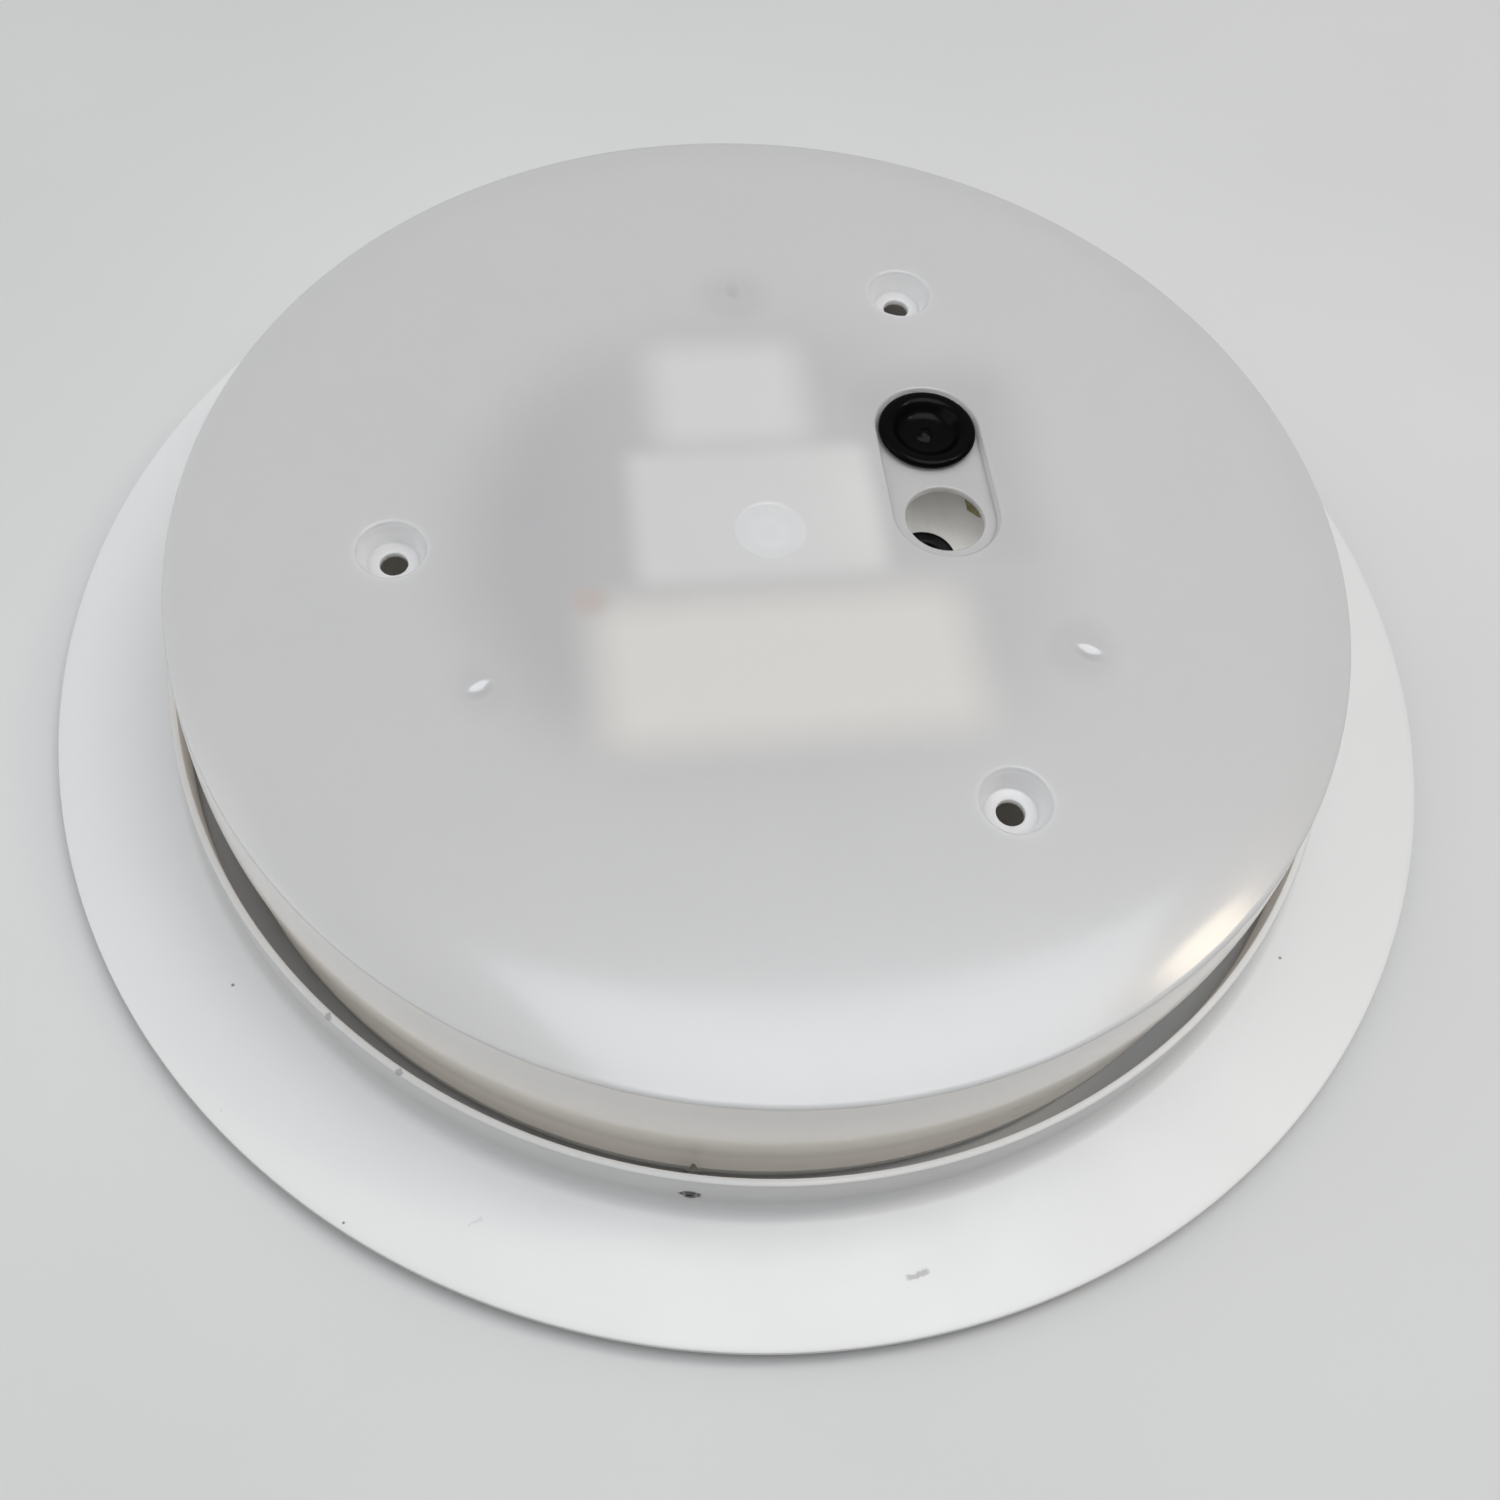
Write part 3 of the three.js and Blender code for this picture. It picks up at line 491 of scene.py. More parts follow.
# ---- Cable grommet: a round lip, a neck and a dished membrane with a slit in its nipple ----
def make_grommet(material):
    floor = BACK_Z - RECESS_DEPTH + 0.3 * MM
    profile = raised([(0, 0.7), (7.9, 0.2), (9.1, 0), (11.3, 0.5), (12, 0.9), (11.4, 1.6), (9.9, 1.6)],
                     GROMMET_LOW.z)
    lip = [(9.9, 0), (11.8, 0), (12.6, 0.15), (13.05, 0.55), (13.2, 1.05), (13.1, 1.55), (12.7, 2)]
    lip += [(12, 2.28), (11.1, 2.36), (10.2, 2.2), (9.4, 1.8), (8.6, 1.1), (8, 0.35)]
    membrane = [(7.1, -0.3), (6, -0.75), (4.6, -1), (3.2, -1.05)]
    membrane += [(2.2, -0.9), (1.5, -0.5), (0.8, -0.2), (0, -0.12)]
    profile += raised(lip + membrane, floor)
    bm = lathe(profile, 96, (ENTRY_X, GROMMET_Y))
    slit_nipple(bm, floor)
    piece = add_mesh("grommet_moulding", bm, material, "housing", ["cable_grommet"], 60)
    weight_normals(piece)


def slit_nipple(bm, floor):
    """Lifts one side of the membrane's middle along a slanted slit, as it sits on the real one."""
    along = Vector(polar(1, 28))
    nipple_r, slit_half_width, slit_lift = 5.5 * MM, 0.9 * MM, 0.3 * MM
    membrane_low = floor - 1.3 * MM
    for vert in bm.verts:
        offset = Vector((vert.co.x - ENTRY_X, vert.co.y - GROMMET_Y))
        reach = offset.length
        if reach > nipple_r or vert.co.z < membrane_low:
            continue
        side = offset.x * -along.y + offset.y * along.x
        vert.co.z += slit_lift * (1 - reach / nipple_r) * max(-1, min(1, side / slit_half_width))


# ---- Wire bush in the tray ----
def make_bush(material):
    centre = (BUSH_LOW + BUSH_HIGH) / 2
    low = BUSH_LOW.z
    outer = (BUSH_HIGH.x - BUSH_LOW.x) / 2
    inner = outer - 4.2 * MM
    under_lip, groove = outer - 1 * MM, outer - 2.6 * MM
    sheet_low, sheet_high = TRAY_TOP_Z - 1.5 * MM, TRAY_TOP_Z + 0.3 * MM
    lip_r = 1.1 * MM
    profile = [
        (inner, low + 0.5 * MM),
        (inner + 0.5 * MM, low),
        (outer - 1.5 * MM, low),
        (under_lip, low + 0.5 * MM),
        (under_lip, sheet_low),
        (groove, sheet_low),
        (groove, sheet_high),
        *arc(outer - lip_r, sheet_high + lip_r, lip_r, -90, 90, 8),
        *arc(inner + lip_r, sheet_high + lip_r, lip_r, 90, 180, 6),
    ]
    bm = lathe(profile, 64, (centre.x, centre.y))
    add_mesh("bush_ring", bm, material, "housing", ["wire_bush"], 50)


# ---- Set screws: cone point, threads and hex socket, along the radius ----
def make_set_screw(i, angle, material):
    segments = 48
    r, length = SET_SCREW_R, SET_SCREW_LENGTH
    thread_depth, pitch = 0.22 * MM, 0.5 * MM
    socket_r, socket_depth = 1.25 * MM, 2.4 * MM
    bm = bmesh.new()

    def row(size, depth, hexagon=0.0):
        """A ring of points that far below the outer end, from round (0) to hexagonal (1)."""
        verts = []
        for k in range(segments):
            a = 2 * math.pi * k / segments
            flat = math.cos(math.pi / 6) / math.cos((a % (math.pi / 3)) - math.pi / 6)
            s = size * (1 - hexagon + hexagon * flat)
            verts.append(bm.verts.new((SET_SCREW_END_R - depth, s * math.cos(a), s * math.sin(a))))
        return verts

    rows = [row(0.35 * MM, length - 0.12 * MM), row(r - 0.35 * MM, length - 1.7 * MM)]
    depth = length - 2.05 * MM
    while depth > 0.8 * MM:
        rows += [row(r, depth), row(r, depth - 0.1 * MM), row(r - thread_depth, depth - 0.32 * MM)]
        depth -= pitch
    rows += [row(r, 0.7 * MM), row(r - 0.08 * MM, 0.5 * MM), row(r - 0.5 * MM, 0)]
    rows += [row(1.42 * MM, 0), row(1.3 * MM, 0.12 * MM, 0.6), row(socket_r, 0.3 * MM, 1)]
    rows += [row(socket_r, socket_depth, 1)]
    close_to_point(bm, rows[0], (SET_SCREW_END_R - length, 0, 0))
    for lower, upper in zip(rows, rows[1:]):
        bridge(bm, lower, upper)
    close_to_point(bm, rows[-1], (SET_SCREW_END_R - socket_depth - 0.5 * MM, 0, 0))
    turn = Matrix.Rotation(math.radians(angle), 4, "Z") @ Matrix.Translation((0, 0, SET_SCREW_Z))
    bmesh.ops.transform(bm, matrix=turn, verts=bm.verts)
    node = f"set_screw_{i + 1}"
    add_mesh(f"{node}_threaded", bm, material, node, [node], 35)


# ---- Front diffuser: a flat with a rounded edge, a land for the housing and a spigot ----
def make_diffuser(material):
    shoulder_z = HOUSING_FOOT_Z - 0.3 * MM
    edge_high = shoulder_z - 1.5 * MM
    top = DIFFUSER_TOP_Z
    inner_r = SPIGOT_R - DIFFUSER_WALL
    fillet = 3 * MM
    profile = [(0, 0), (60 * MM, 0), (110 * MM, 0), (130 * MM, 0)]
    for i in range(17):
        a = math.pi / 2 * i / 16
        radius = DIFFUSER_FLAT_R + (WALL_R - DIFFUSER_FLAT_R) * math.sin(a)
        profile.append((radius, edge_high * (1 - math.cos(a))))
    profile += [
        (WALL_R, shoulder_z - 0.4 * MM),
        (WALL_R - 0.4 * MM, shoulder_z),
        (SPIGOT_R, shoulder_z),
        (SPIGOT_R, top - 0.6 * MM),
        (SPIGOT_R - 0.6 * MM, top),
        (inner_r + 0.5 * MM, top),
        (inner_r, top - 0.5 * MM),
        *arc(inner_r - fillet, DIFFUSER_WALL + fillet, fillet, 0, -90, 6),
        (60 * MM, DIFFUSER_WALL),
        (0, DIFFUSER_WALL),
    ]
    piece = add_mesh("diffuser_moulding", lathe(profile, 288), material, "diffuser",
                     ["front_diffuser"], 50)
    weight_normals(piece)


# ---- Materials ----
class Look:
    """A procedural Principled material, built node by node in object coordinates."""

    def __init__(self, name, colour, roughness, metallic=0.0, specular=0.5, coat=0.0, coat_roughness=0.1):
        self.material = bpy.data.materials.new(name)
        self.material.use_nodes = True
        self.tree = self.material.node_tree
        self.shader = next(n for n in self.tree.nodes if n.type == "BSDF_PRINCIPLED")
        self.set("Base Color", (*colour, 1))
        self.set("Roughness", roughness)
        self.set("Metallic", metallic)
        self.set("Specular IOR Level", specular)
        self.set("Coat Weight", coat)
        self.set("Coat Roughness", coat_roughness)
        self.set("IOR", 1.5)
        self.place = self.node("ShaderNodeTexCoord").outputs["Object"]
        split = self.node("ShaderNodeSeparateXYZ")
        self.tree.links.new(self.place, split.inputs[0])
        self.x, self.y, self.z = split.outputs

    def node(self, kind):
        return self.tree.nodes.new(kind)

    def set(self, socket, value):
        self.shader.inputs[socket].default_value = value

    def feed(self, socket, output):
        self.tree.links.new(output, self.shader.inputs[socket])

    def put(self, target, value):
        if hasattr(value, "is_output"):
            self.tree.links.new(value, target)
        else:
            target.default_value = value

    def math(self, operation, a, b=0.0, clamp=False):
        node = self.node("ShaderNodeMath")
        node.operation = operation
        node.use_clamp = clamp
        self.put(node.inputs[0], a)
        self.put(node.inputs[1], b)
        return node.outputs[0]

    def plus(self, a, b):
        return self.math("ADD", a, b)

    def minus(self, a, b):
        return self.math("SUBTRACT", a, b)

    def times(self, a, b):
        return self.math("MULTIPLY", a, b)

    def highest(self, *masks):
        total = masks[0]
        for mask in masks[1:]:
            total = self.math("MAXIMUM", total, mask)
        return total

    def ramp(self, value, low, high, to_low=0.0, to_high=1.0, smooth=True):
        node = self.node("ShaderNodeMapRange")
        node.interpolation_type = "SMOOTHSTEP" if smooth else "LINEAR"
        self.put(node.inputs["Value"], value)
        node.inputs["From Min"].default_value = low
        node.inputs["From Max"].default_value = high
        node.inputs["To Min"].default_value = to_low
        node.inputs["To Max"].default_value = to_high
        return node.outputs["Result"]

    def noise(self, scale, detail=3.0, rough=0.5, stretch=None):
        node = self.node("ShaderNodeTexNoise")
        node.inputs["Scale"].default_value = scale
        node.inputs["Detail"].default_value = detail
        node.inputs["Roughness"].default_value = rough
        place = self.place
        if stretch:
            mapping = self.node("ShaderNodeMapping")
            mapping.inputs["Scale"].default_value = stretch
            self.tree.links.new(place, mapping.inputs["Vector"])
            place = mapping.outputs[0]
        self.tree.links.new(place, node.inputs["Vector"])
        return node.outputs[0]

    def mix(self, factor, a, b):
        node = self.node("ShaderNodeMix")
        node.data_type = "RGBA"
        self.put(node.inputs[0], factor)
        self.put(node.inputs[6], a if hasattr(a, "is_output") else (*a, 1))
        self.put(node.inputs[7], b if hasattr(b, "is_output") else (*b, 1))
        return node.outputs[2]

    def bump(self, height, strength, distance):
        node = self.node("ShaderNodeBump")
        node.inputs["Strength"].default_value = strength
        node.inputs["Distance"].default_value = distance
        self.put(node.inputs["Height"], height)
        self.feed("Normal", node.outputs[0])

    def distance(self, *point):
        """Distance from a point, or from a vertical line where only x and y are given."""
        total = None
        for axis, value in zip((self.x, self.y, self.z), point):
            step = self.minus(axis, value)
            square = self.times(step, step)
            total = square if total is None else self.plus(total, square)
        return self.math("SQRT", total)

    def inside(self, distance, full, edge):
        """1 up to the full distance, falling to 0 at the edge."""
        return self.ramp(distance, full, edge, 1, 0)

    def soft_box(self, x0, x1, y0, y1, blur):
        """1 inside the rectangle, 0 outside, with soft edges."""
        dx = self.math("ABSOLUTE", self.minus(self.x, (x0 + x1) / 2))
        dy = self.math("ABSOLUTE", self.minus(self.y, (y0 + y1) / 2))
        across = self.inside(dx, (x1 - x0) / 2 - blur, (x1 - x0) / 2 + blur)
        along = self.inside(dy, (y1 - y0) / 2 - blur, (y1 - y0) / 2 + blur)
        return self.times(across, along)

    def vary(self, colour, other, scale):
        """The base colour drifts between two close colours."""
        self.feed("Base Color", self.mix(self.ramp(self.noise(scale, 4), 0.3, 0.7), colour, other))

    def vary_roughness(self, scale, low, high, detail=4, noise_low=0.3, noise_high=0.75):
        drift = self.ramp(self.noise(scale, detail), noise_low, noise_high, low, high, False)
        self.feed("Roughness", drift)


OPAL, OPAL_DRIFT, OPAL_SHADED = (0.62, 0.615, 0.61), (0.602, 0.6, 0.6), (0.515, 0.51, 0.513)
OPAL_COAT, OPAL_COAT_ROUGHNESS = 0.6, 0.13

# The gear that shows through the back: its edges in x and y and their blur in mm, and the colour they give
TERMINAL_BLOCK_BEHIND = ((-26, 14.5, 29, 64.5, 8), (0.74, 0.722, 0.715))
SENSOR_BEHIND = ((-34.5, 28.5, -15, 27, 4.5), (0.70, 0.695, 0.68))
DRIVER_BEHIND = ((-46.5, 45.5, -61.5, -20.5, 9.5), (0.77, 0.74, 0.695))
GEAR_BEHIND = (TERMINAL_BLOCK_BEHIND, SENSOR_BEHIND, DRIVER_BEHIND)


def opal_look():
    """Translucent opal plastic: the gear behind it shows as soft, pale and dark patches."""
    look = Look("opal", OPAL, 0.3, coat=OPAL_COAT, coat_roughness=OPAL_COAT_ROUGHNESS)
    look.set("Subsurface Weight", 0.75)
    look.set("Subsurface Radius", (1.0, 1.0, 0.95))
    look.set("Subsurface Scale", 0.006)
    drift = look.ramp(look.noise(28, 3), 0.3, 0.7)
    colour = look.mix(look.times(drift, 0.35), OPAL, OPAL_DRIFT)
    colour = look.mix(opal_shade(look), colour, OPAL_SHADED)
    for edges, tint in GEAR_BEHIND:
        patch = look.soft_box(*(edge * MM for edge in edges))
        colour = look.mix(patch, colour, tint)
    lead = look.ramp(look.distance(-47 * MM, -19 * MM), 1 * MM, 7 * MM, 0.45, 0)
    colour = look.mix(lead, colour, (0.56, 0.44, 0.38))
    # Painted light and shade in the recess and the fixing cups
    colour = opal_hollows_painted_light_and_shade(look, colour)

    # Painted light on the side wall below the crease: a paler colour, warmer towards the bottom, and a faint
    # glow, strongest low down, standing in for daylight through the opal.
    painted_wall_light_mask = look.times(look.ramp(look.distance(0, 0), 144 * MM, 147 * MM),
                         look.inside(look.z, CREASE_Z - 1.5 * MM, CREASE_Z - 0.5 * MM))
    wall = look.mix(look.inside(look.z, 34 * MM, 52 * MM), (0.84, 0.82, 0.78), (0.84, 0.77, 0.68))
    look.feed("Base Color", look.mix(painted_wall_light_mask, colour, wall))
    look.set("Emission Color", (1.0, 0.95, 0.87, 1))
    through = look.ramp(look.z, 30 * MM, 57 * MM, 0.14, 0.06)
    look.feed("Emission Strength", look.times(painted_wall_light_mask, through))

    look.vary_roughness(8, 0.26, 0.34, 2, 0.1, 0.9)
    dents = (look.distance(*polar(BOSS_R, angle)) for angle in BOSS_ANGLES)
    glossy = look.highest(*(look.inside(r, 4.5 * MM, 6.5 * MM) for r in dents))
    look.feed("Coat Roughness", look.ramp(glossy, 0, 1, OPAL_COAT_ROUGHNESS, 0.03))
    look.feed("Coat Weight", look.ramp(glossy, 0, 1, OPAL_COAT, 1.0))
    grain = look.plus(look.noise(2200, 2), look.times(look.noise(60, 3), 1.2))
    look.bump(grain, 0.12, 0.06 * MM)
    return look.material


def opal_shade(look):
    """Where the back looks darker: over the tray, round the cable entries and over the tray screws."""
    tray = look.inside(look.distance(-2 * MM, -4 * MM), 60 * MM, 92 * MM)
    side = look.ramp(look.x, -20 * MM, -62 * MM, 0.55, 1.0)
    near = look.ramp(look.y, -80 * MM, -45 * MM, 0.35, 1.0)
    over_tray = look.times(look.times(tray, side), near)
    entries = look.times(look.soft_box(22 * MM, 72 * MM, -18 * MM, 54 * MM, 12 * MM), 0.85)
    screws = []
    for angle in BOSS_ANGLES:
        r = look.distance(*polar(BOSS_R - 4 * MM, angle))
        screws.append(look.ramp(r, 4 * MM, 15 * MM, 0.5, 0))
    return look.highest(over_tray, entries, *screws)


def opal_hollows_painted_light_and_shade(look, colour):
    """Painted light on the recess walls, on the cup walls and floors and in a pale band round each cup,
    standing in for light through the thin opal; painted shade on the recess floor; and a pale gate.
    """
    sunk = look.inside(look.z, BACK_Z - 1.2 * MM, BACK_Z - 0.2 * MM)
    recess = look.soft_box(ENTRY_X - RECESS_R, ENTRY_X + RECESS_R, OPEN_ENTRY_Y - RECESS_R,
                           GROMMET_Y + RECESS_R, 2 * MM)
    recess = look.times(recess, look.ramp(look.z, BACK_Z - 6 * MM, BACK_Z - 5 * MM))
    # Painted light on the recess walls, painted shade on its floor
    recess_floor = look.inside(look.z, BACK_Z - 2.4 * MM, BACK_Z - 1.9 * MM)
    recess_painted_light_and_shade = look.mix(recess_floor, (0.95, 0.945, 0.94), (0.515, 0.508, 0.51))
    colour = look.mix(look.times(recess, sunk), colour, recess_painted_light_and_shade)
    cup_band_painted_light, cups = [], []
    for angle in FIXING_ANGLES:
        r = look.distance(*polar(FIXING_R, angle))
        cup_band_painted_light.append(look.times(look.ramp(r, 7.4 * MM, 8.4 * MM), look.inside(r, 8.9 * MM, 10.2 * MM)))
        cups.append(look.times(look.inside(r, 9 * MM, 9.6 * MM), sunk))
    # Painted light on the cup walls and floors
    cup_wall = look.ramp(look.z, BACK_Z - 5.9 * MM, BACK_Z - 5 * MM)
    cup_painted_light = look.mix(cup_wall, (0.74, 0.735, 0.73), (0.93, 0.925, 0.92))
    colour = look.mix(look.highest(*cups), colour, cup_painted_light)
    # Painted light: a pale band round each cup's rim
    colour = look.mix(look.times(look.highest(*cup_band_painted_light), 0.35), colour, (0.7, 0.7, 0.705))
    gate = look.inside(look.distance(0, 0), 8.6 * MM, 9.6 * MM)
    return look.mix(look.times(gate, 0.4), colour, (0.88, 0.885, 0.89))


# Where the paint is worn: two nicks in the collar's rim, and specks as x, y and radius in mm
NICK_ANGLES = (-136.9, -128.9)
SPECKS = ((-140.3, -89.5, 0.5), (125.9, -106, 0.5), (-113, -150, 0.4), (30, 176, 0.5))


def paint_look():
    """Powder-coated white sheet: faint orange peel, a few specks, chips round the screw holes, two nicks."""
    look = Look("white_paint", (0.78, 0.785, 0.79), 0.4, coat=0.1, coat_roughness=0.25)
    drift = look.ramp(look.noise(14, 4), 0.3, 0.7)
    colour = look.mix(look.times(drift, 0.5), (0.80, 0.798, 0.792), (0.775, 0.773, 0.768))
    grime = look.ramp(look.noise(420, 4, 0.65), 0.71, 0.78)
    colour = look.mix(look.times(grime, 0.35), colour, (0.42, 0.40, 0.38))
    chips = []
    for angle in SET_SCREW_ANGLES:
        r = look.distance(*polar(COLLAR_OUTER_R, angle), SET_SCREW_Z)
        ragged = look.plus(r, look.times(look.noise(900, 3), 2.6 * MM))
        chips.append(look.inside(ragged, 3.7 * MM, 4.1 * MM))
    for angle in NICK_ANGLES:
        r = look.distance(*polar(156.5 * MM, angle), RING_HIGH.z)
        ragged = look.plus(r, look.times(look.noise(1300, 3), 1.6 * MM))
        chips.append(look.times(look.inside(ragged, 1.5 * MM, 1.9 * MM), 0.7))
    worn = look.highest(*chips)
    colour = look.mix(look.times(worn, 0.75), colour, (0.24, 0.235, 0.23))
    spots = []
    for x, y, size in SPECKS:
        spots.append(look.inside(look.distance(x * MM, y * MM), size * 0.6 * MM, size * MM))
    colour = look.mix(look.times(look.highest(*spots), 0.8), colour, (0.12, 0.11, 0.10))
    scratch = scratch_mask(look, 17 * MM, -175 * MM, 3.4 * MM, 0.9 * MM, 12)
    faint = scratch_mask(look, -83.4 * MM, -152.8 * MM, 2.2 * MM, 0.5 * MM, 20)
    marks = look.highest(scratch, look.times(faint, 0.3))
    look.feed("Base Color", look.mix(look.times(marks, 0.7), colour, (0.36, 0.35, 0.34)))
    look.vary_roughness(35, 0.34, 0.47)
    peel = look.plus(look.noise(700, 2), look.times(look.noise(90, 2), 0.8))
    dug = look.times(look.highest(worn, marks), 3.0)
    look.bump(look.minus(peel, dug), 0.25, 0.08 * MM)
    return look.material


def scratch_mask(look, x, y, half_length, half_width, degrees):
    """A short ragged mark centred on (x, y), at that angle."""
    cos, sin = polar(1, degrees)
    dx = look.minus(look.x, x)
    dy = look.minus(look.y, y)
    along = look.plus(look.times(dx, cos), look.times(dy, sin))
    across = look.minus(look.times(dy, cos), look.times(dx, sin))
    wobble = look.times(look.minus(look.noise(700, 3), 0.5), 2 * MM)
    across = look.math("ABSOLUTE", look.plus(across, wobble))
    in_length = look.inside(look.math("ABSOLUTE", along), half_length * 0.6, half_length)
    in_width = look.inside(across, half_width * 0.4, half_width)
    return look.times(in_length, in_width)


def rubber_look():
    look = Look("black_rubber", (0.002, 0.002, 0.002), 0.14, specular=0.06)
    dust = look.times(look.ramp(look.noise(500, 4, 0.6), 0.6, 0.8), 0.5)
    look.feed("Base Color", look.mix(dust, (0.0018, 0.0018, 0.002), (0.008, 0.0075, 0.007)))
    look.vary_roughness(180, 0.14, 0.28)
    look.bump(look.noise(1500, 3), 0.2, 0.06 * MM)
    return look.material


def steel_look(name, colour, other, roughness, scale, shaded_socket_angles=()):
    """Plated steel with its faint spangle and fine scratches, and painted shade darkening the set screw
    sockets near black.
    """
    look = Look(name, colour, roughness, metallic=0.6)
    spangle = look.node("ShaderNodeTexVoronoi")
    spangle.inputs["Scale"].default_value = scale
    look.tree.links.new(look.place, spangle.inputs["Vector"])
    patches = look.times(look.ramp(spangle.outputs["Distance"], 0.1, 0.7), 0.5)
    streaks = look.ramp(look.noise(350, 3, 0.5, (1, 0.06, 1)), 0.35, 0.7)
    blend = look.math("ADD", patches, look.times(streaks, 0.4), True)
    surface = look.mix(blend, colour, other)
    # Painted shade: the hex socket in each set screw's end is darkened near black
    for angle in shaded_socket_angles:
        r = look.distance(*polar(SET_SCREW_END_R - 1.5 * MM, angle), SET_SCREW_Z)
        socket = look.inside(r, 1.5 * MM, 1.75 * MM)
        surface = look.mix(look.times(socket, 0.95), surface, (0.02, 0.02, 0.02))
    look.feed("Base Color", surface)
    look.vary_roughness(120, roughness - 0.08, roughness + 0.1)
    look.bump(streaks, 0.15, 0.04 * MM)
    return look.material


def plastic_look(name, colour, other, roughness, grain=900):
    """Moulded plastic with a fine spark-eroded grain."""
    look = Look(name, colour, roughness)
    look.vary(colour, other, 45)
    look.vary_roughness(70, roughness - 0.06, roughness + 0.08)
    look.bump(look.noise(grain, 3), 0.3, 0.06 * MM)
    return look.material


def board_look(name, colour, track, track_scale, bare_above=None):
    """Solder-masked board with faint tracks. Above bare_above the board's own brown shows."""
    look = Look(name, colour, 0.4)
    wave = look.node("ShaderNodeTexWave")
    wave.bands_direction = "DIAGONAL"
    wave.inputs["Scale"].default_value = track_scale
    wave.inputs["Distortion"].default_value = 6
    wave.inputs["Detail"].default_value = 1
    look.tree.links.new(look.place, wave.inputs["Vector"])
    tracks = look.ramp(wave.outputs[1], 0.55, 0.65, 0, 0.5)
    surface = look.mix(tracks, colour, track)
    if bare_above:
        bare = look.mix(look.ramp(look.noise(900, 2), 0.3, 0.7), (0.10, 0.095, 0.045), (0.15, 0.14, 0.07))
        surface = look.mix(look.ramp(look.z, bare_above - 0.1 * MM, bare_above), surface, bare)
    look.feed("Base Color", surface)
    look.vary_roughness(90, 0.32, 0.5, 3, 0.3, 0.7)
    look.bump(tracks, 0.3, 0.05 * MM)
    return look.material


def diffuser_look():
    """Opal front: smooth, brighter than the back, with a faint mottle."""
    look = Look("diffuser_opal", (0.74, 0.74, 0.725), 0.3, coat=0.2)
    look.vary((0.75, 0.75, 0.735), (0.72, 0.72, 0.71), 16)
    look.vary_roughness(25, 0.24, 0.38)
    look.bump(look.plus(look.noise(1800, 2), look.noise(120, 2)), 0.12, 0.05 * MM)
    return look.material


# ---- Pieces built here ----
opal = opal_look()
paint = paint_look()
rubber = rubber_look()
make_housing(opal)
make_ring(paint)
make_grommet(rubber)
make_bush(rubber)
make_diffuser(diffuser_look())
plated = steel_look("set_screw_steel", (0.30, 0.295, 0.285), (0.20, 0.197, 0.19), 0.22, 900, SET_SCREW_ANGLES)
for index, degrees in enumerate(SET_SCREW_ANGLES):
    make_set_screw(index, degrees, plated)

# ---- CAD nodes carried over, each with its material and the width of its softened edges in mm ----
BARE_BOARD_Z = 31.2 * MM  # the lamp board's solder mask ends here, and its back is bare
bright = steel_look("bright_steel", (0.58, 0.575, 0.56), (0.42, 0.415, 0.40), 0.3, 900)
tray_steel = steel_look("tray_steel", (0.42, 0.418, 0.412), (0.37, 0.368, 0.362), 0.5, 60)
cream = plastic_look("cream_plastic", (0.76, 0.70, 0.60), (0.72, 0.66, 0.56), 0.45)
grey = plastic_look("grey_plastic", (0.60, 0.625, 0.62), (0.56, 0.585, 0.58), 0.45)
white = plastic_look("white_plastic", (0.76, 0.75, 0.73), (0.72, 0.71, 0.69), 0.4)
orange = plastic_look("orange_plastic", (0.56, 0.14, 0.025), (0.5, 0.12, 0.02), 0.4)
silicone = plastic_look("silicone", (0.62, 0.61, 0.58), (0.57, 0.56, 0.53), 0.55)
green_board = board_look("board_green", (0.085, 0.09, 0.05), (0.13, 0.135, 0.07), 120)
white_board = board_look("lamp_board_white", (0.78, 0.77, 0.74), (0.70, 0.69, 0.66), 60, BARE_BOARD_Z)
red_lead = plastic_look("red_lead", (0.40, 0.012, 0.008), (0.33, 0.010, 0.007), 0.32, 1500)
black_lead = plastic_look("black_lead", (0.012, 0.012, 0.013), (0.02, 0.02, 0.02), 0.35, 1500)
brown_lead = plastic_look("brown_lead", (0.13, 0.05, 0.022), (0.10, 0.04, 0.018), 0.35, 1500)
blue_lead = plastic_look("blue_lead", (0.02, 0.08, 0.30), (0.018, 0.07, 0.26), 0.35, 1500)

CARRIED_OVER = {
    "gear_tray": (tray_steel, 0.15),
    "tray_screw": (bright, 0),
    "driver_screw": (bright, 0),
    "sensor_screw": (bright, 0),
    "board_screw": (bright, 0),
    "driver_case": (cream, 0.4),
    "driver_lid": (cream, 0.4),
    "driver_board": (green_board, 0.2),
    "sensor_case": (grey, 0.4),
    "sensor_lid": (grey, 0.4),
    "sensor_board": (green_board, 0.2),
    "terminal_block": (white, 0.3),
    "terminal_button": (orange, 0.3),
    "lamp_board": (white_board, 0),
    "lamp_connector": (white, 0.3),
    "diffuser_seal": (silicone, 0.3),
    "lamp_lead_red": (red_lead, 0),
    "lamp_lead_black": (black_lead, 0),
    "mains_lead_live": (brown_lead, 0),
    "mains_lead_neutral": (blue_lead, 0),
}


def dress(node, material, bevel):
    node.data.materials.clear()
    node.data.materials.append(material)
    if bevel:
        modifier = node.modifiers.new("edges", "BEVEL")
        modifier.width = bevel * MM
        modifier.segments = 2
        modifier.limit_method = "ANGLE"
        modifier.angle_limit = math.radians(50)
        modifier.harden_normals = False


for name, node in NODES.items():
    if node.hide_render:
        continue
    stem = name if name in CARRIED_OVER else name.rsplit("_", 1)[0]
    dress(node, *CARRIED_OVER[stem])
    if "lead" in name:
        rounding = node.modifiers.new("round", "SUBSURF")
        rounding.levels = rounding.render_levels = 2


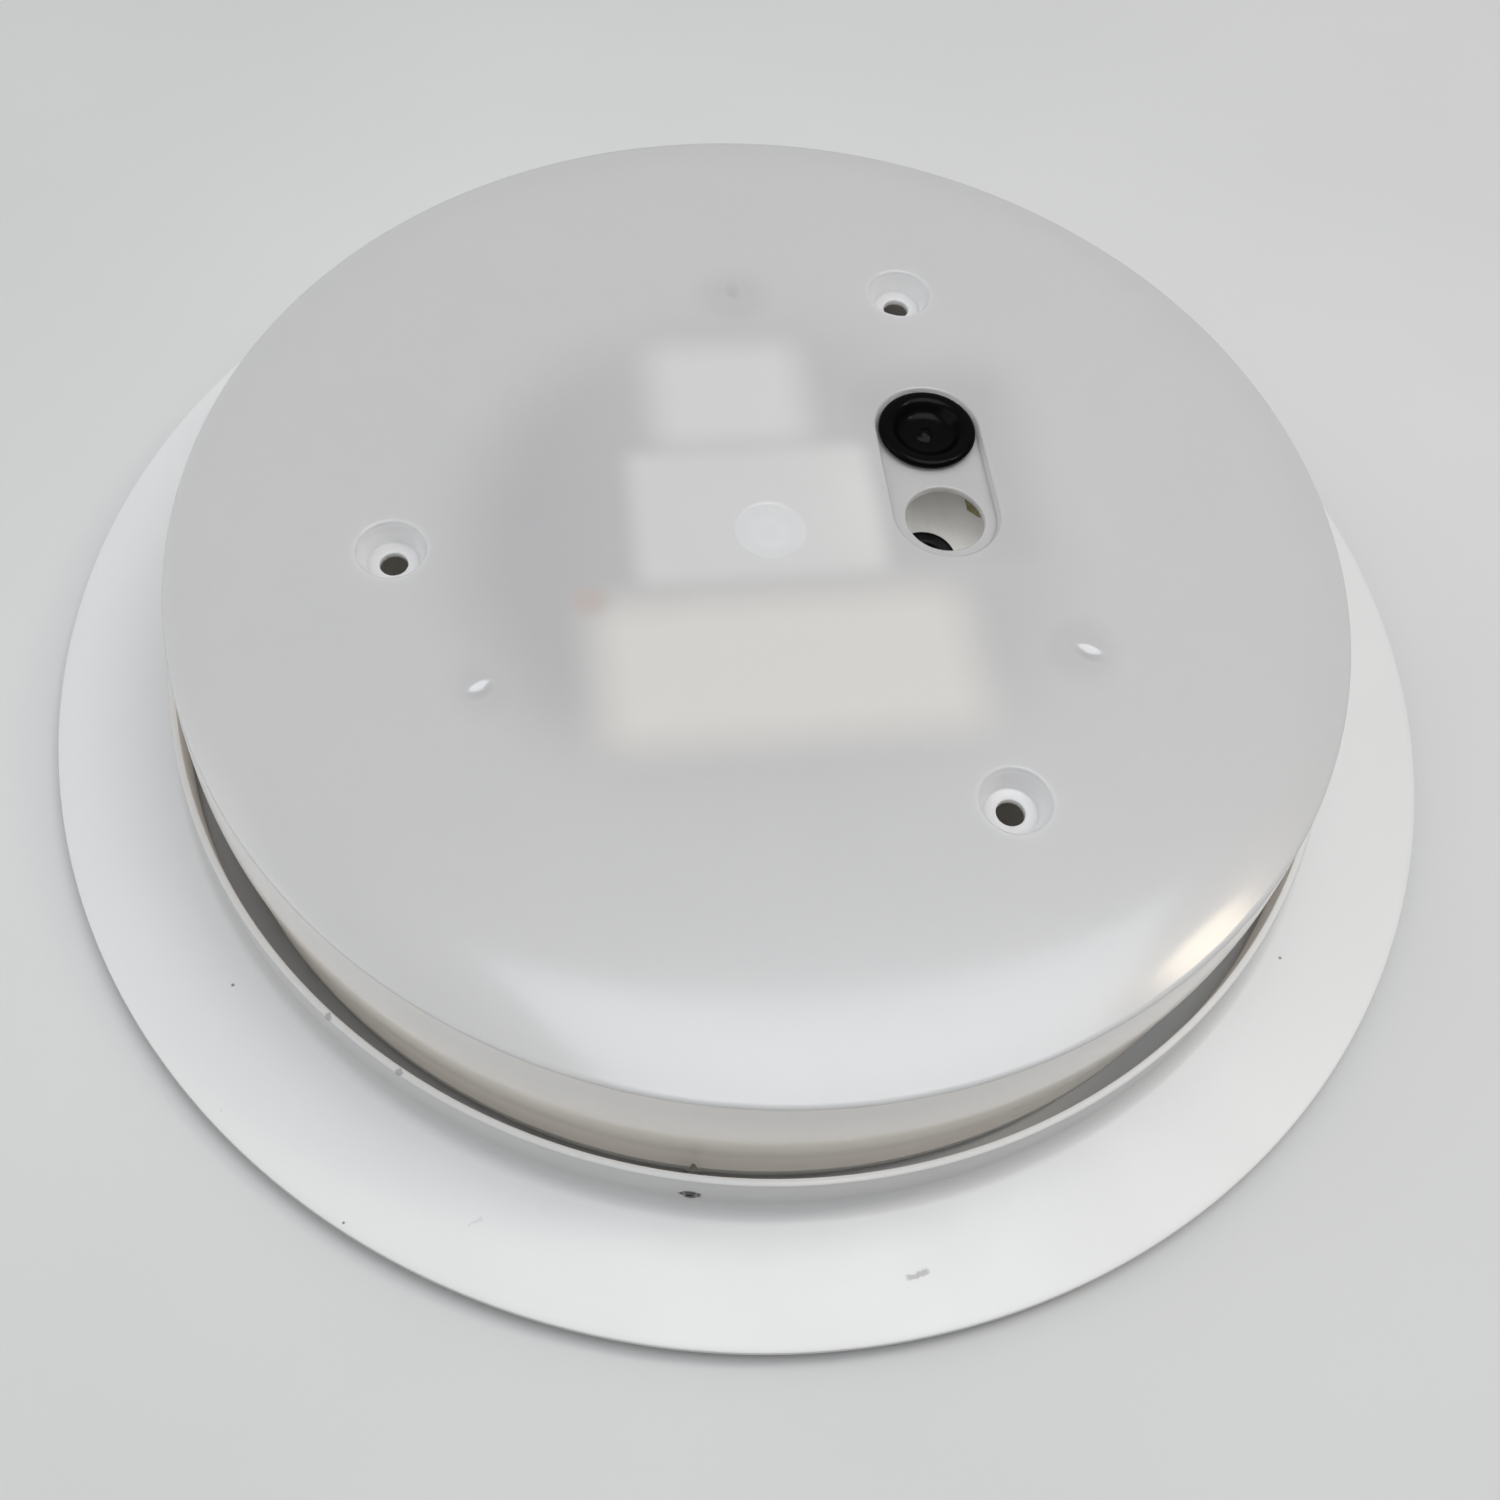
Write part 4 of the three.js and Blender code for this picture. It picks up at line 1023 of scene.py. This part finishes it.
# ---- Floor, lights and surroundings ----
def make_floor():
    bm = bmesh.new()
    bmesh.ops.create_grid(bm, x_segments=2, y_segments=2, size=3)
    mesh = bpy.data.meshes.new("floor")
    bm.to_mesh(mesh)
    bm.free()
    floor = bpy.data.objects.new("floor", mesh)
    bpy.context.scene.collection.objects.link(floor)
    look = Look("floor_paper", (0.72, 0.72, 0.715), 0.8, specular=0.2)
    look.vary((0.73, 0.73, 0.725), (0.70, 0.70, 0.695), 4)
    look.bump(look.noise(300, 3), 0.1, 0.2 * MM)
    mesh.materials.append(look.material)
    floor.location.z = -0.2 * MM


def area_light(name, place, target, size_x, size_y, radiance, colour, shape="RECTANGLE"):
    """A light of that radiance, placed and aimed in the view's own directions: right, away and up."""
    data = bpy.data.lights.new(name, "AREA")
    data.shape = shape
    data.size = size_x
    data.size_y = size_y
    area = size_x * size_y * (math.pi / 4 if shape == "ELLIPSE" else 1)
    data.energy = radiance * math.pi * area
    data.color = colour
    light = bpy.data.objects.new(name, data)
    bpy.context.scene.collection.objects.link(light)
    place = VIEW_TURN @ Vector(place)
    aim = VIEW_TURN @ Vector(target)
    turn = (aim - place).to_track_quat("-Z", "Y").to_matrix().to_4x4()
    light.matrix_world = Matrix.Translation(place) @ turn
    return light


def make_surroundings():
    """A room that is pale above and dark below, and brighter towards the far left."""
    world = bpy.data.worlds.new("studio")
    bpy.context.scene.world = world
    world.use_nodes = True
    tree = world.node_tree
    background = next(n for n in tree.nodes if n.type == "BACKGROUND")
    place = tree.nodes.new("ShaderNodeTexCoord")
    split = tree.nodes.new("ShaderNodeSeparateXYZ")
    ramp = tree.nodes.new("ShaderNodeValToRGB")
    tree.links.new(place.outputs["Generated"], split.inputs[0])
    tree.links.new(split.outputs["Z"], ramp.inputs[0])
    tree.links.new(ramp.outputs[0], background.inputs["Color"])
    stops = ramp.color_ramp.elements
    stops[0].position, stops[0].color = 0.0, (0.095, 0.103, 0.116, 1)
    stops[1].position, stops[1].color = 1.0, (0.6, 0.6, 0.6, 1)
    middle = stops.new(0.5)
    middle.color = (0.33, 0.333, 0.34, 1)
    across = tree.nodes.new("ShaderNodeVectorMath")
    across.operation = "DOT_PRODUCT"
    across.inputs[1].default_value = VIEW_TURN @ Vector((-0.5, 0.866, 0))
    brighter = tree.nodes.new("ShaderNodeMapRange")
    brighter.inputs["From Min"].default_value = -1
    brighter.inputs["To Min"].default_value = 0.55
    brighter.inputs["To Max"].default_value = 1.15
    tree.links.new(place.outputs["Generated"], across.inputs[0])
    tree.links.new(across.outputs["Value"], brighter.inputs["Value"])
    tree.links.new(brighter.outputs["Result"], background.inputs["Strength"])


make_floor()
make_surroundings()
make_camera()
area_light("window", (0.22, 0.02, 1.2), (0.22, 0.0201, 0), 0.82, 0.66, 4.15, (0.905, 0.948, 1.0))
area_light("fill", (-0.9, -0.25, 0.75), (-0.1, 0, 0), 0.9, 0.9, 0.9, (1.0, 1.0, 1.0))
area_light("lamp", (0.80, 0.22, 1.2), (0, 0, 0), 0.2, 0.2, 19.0, (1.0, 0.84, 0.62), "ELLIPSE")
# The opal passes daylight to the gear, which this light in the recess stands for
glow = area_light("glow", (0.0465, 0.019, 0.0545), (0.0465, 0.0191, 0), 0.05, 0.05, 2.4,
                  (1.0, 0.99, 0.97), "ELLIPSE")
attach(glow, "housing")

bpy.context.scene.view_settings.view_transform = "Standard"
bpy.context.scene.view_settings.look = "None"
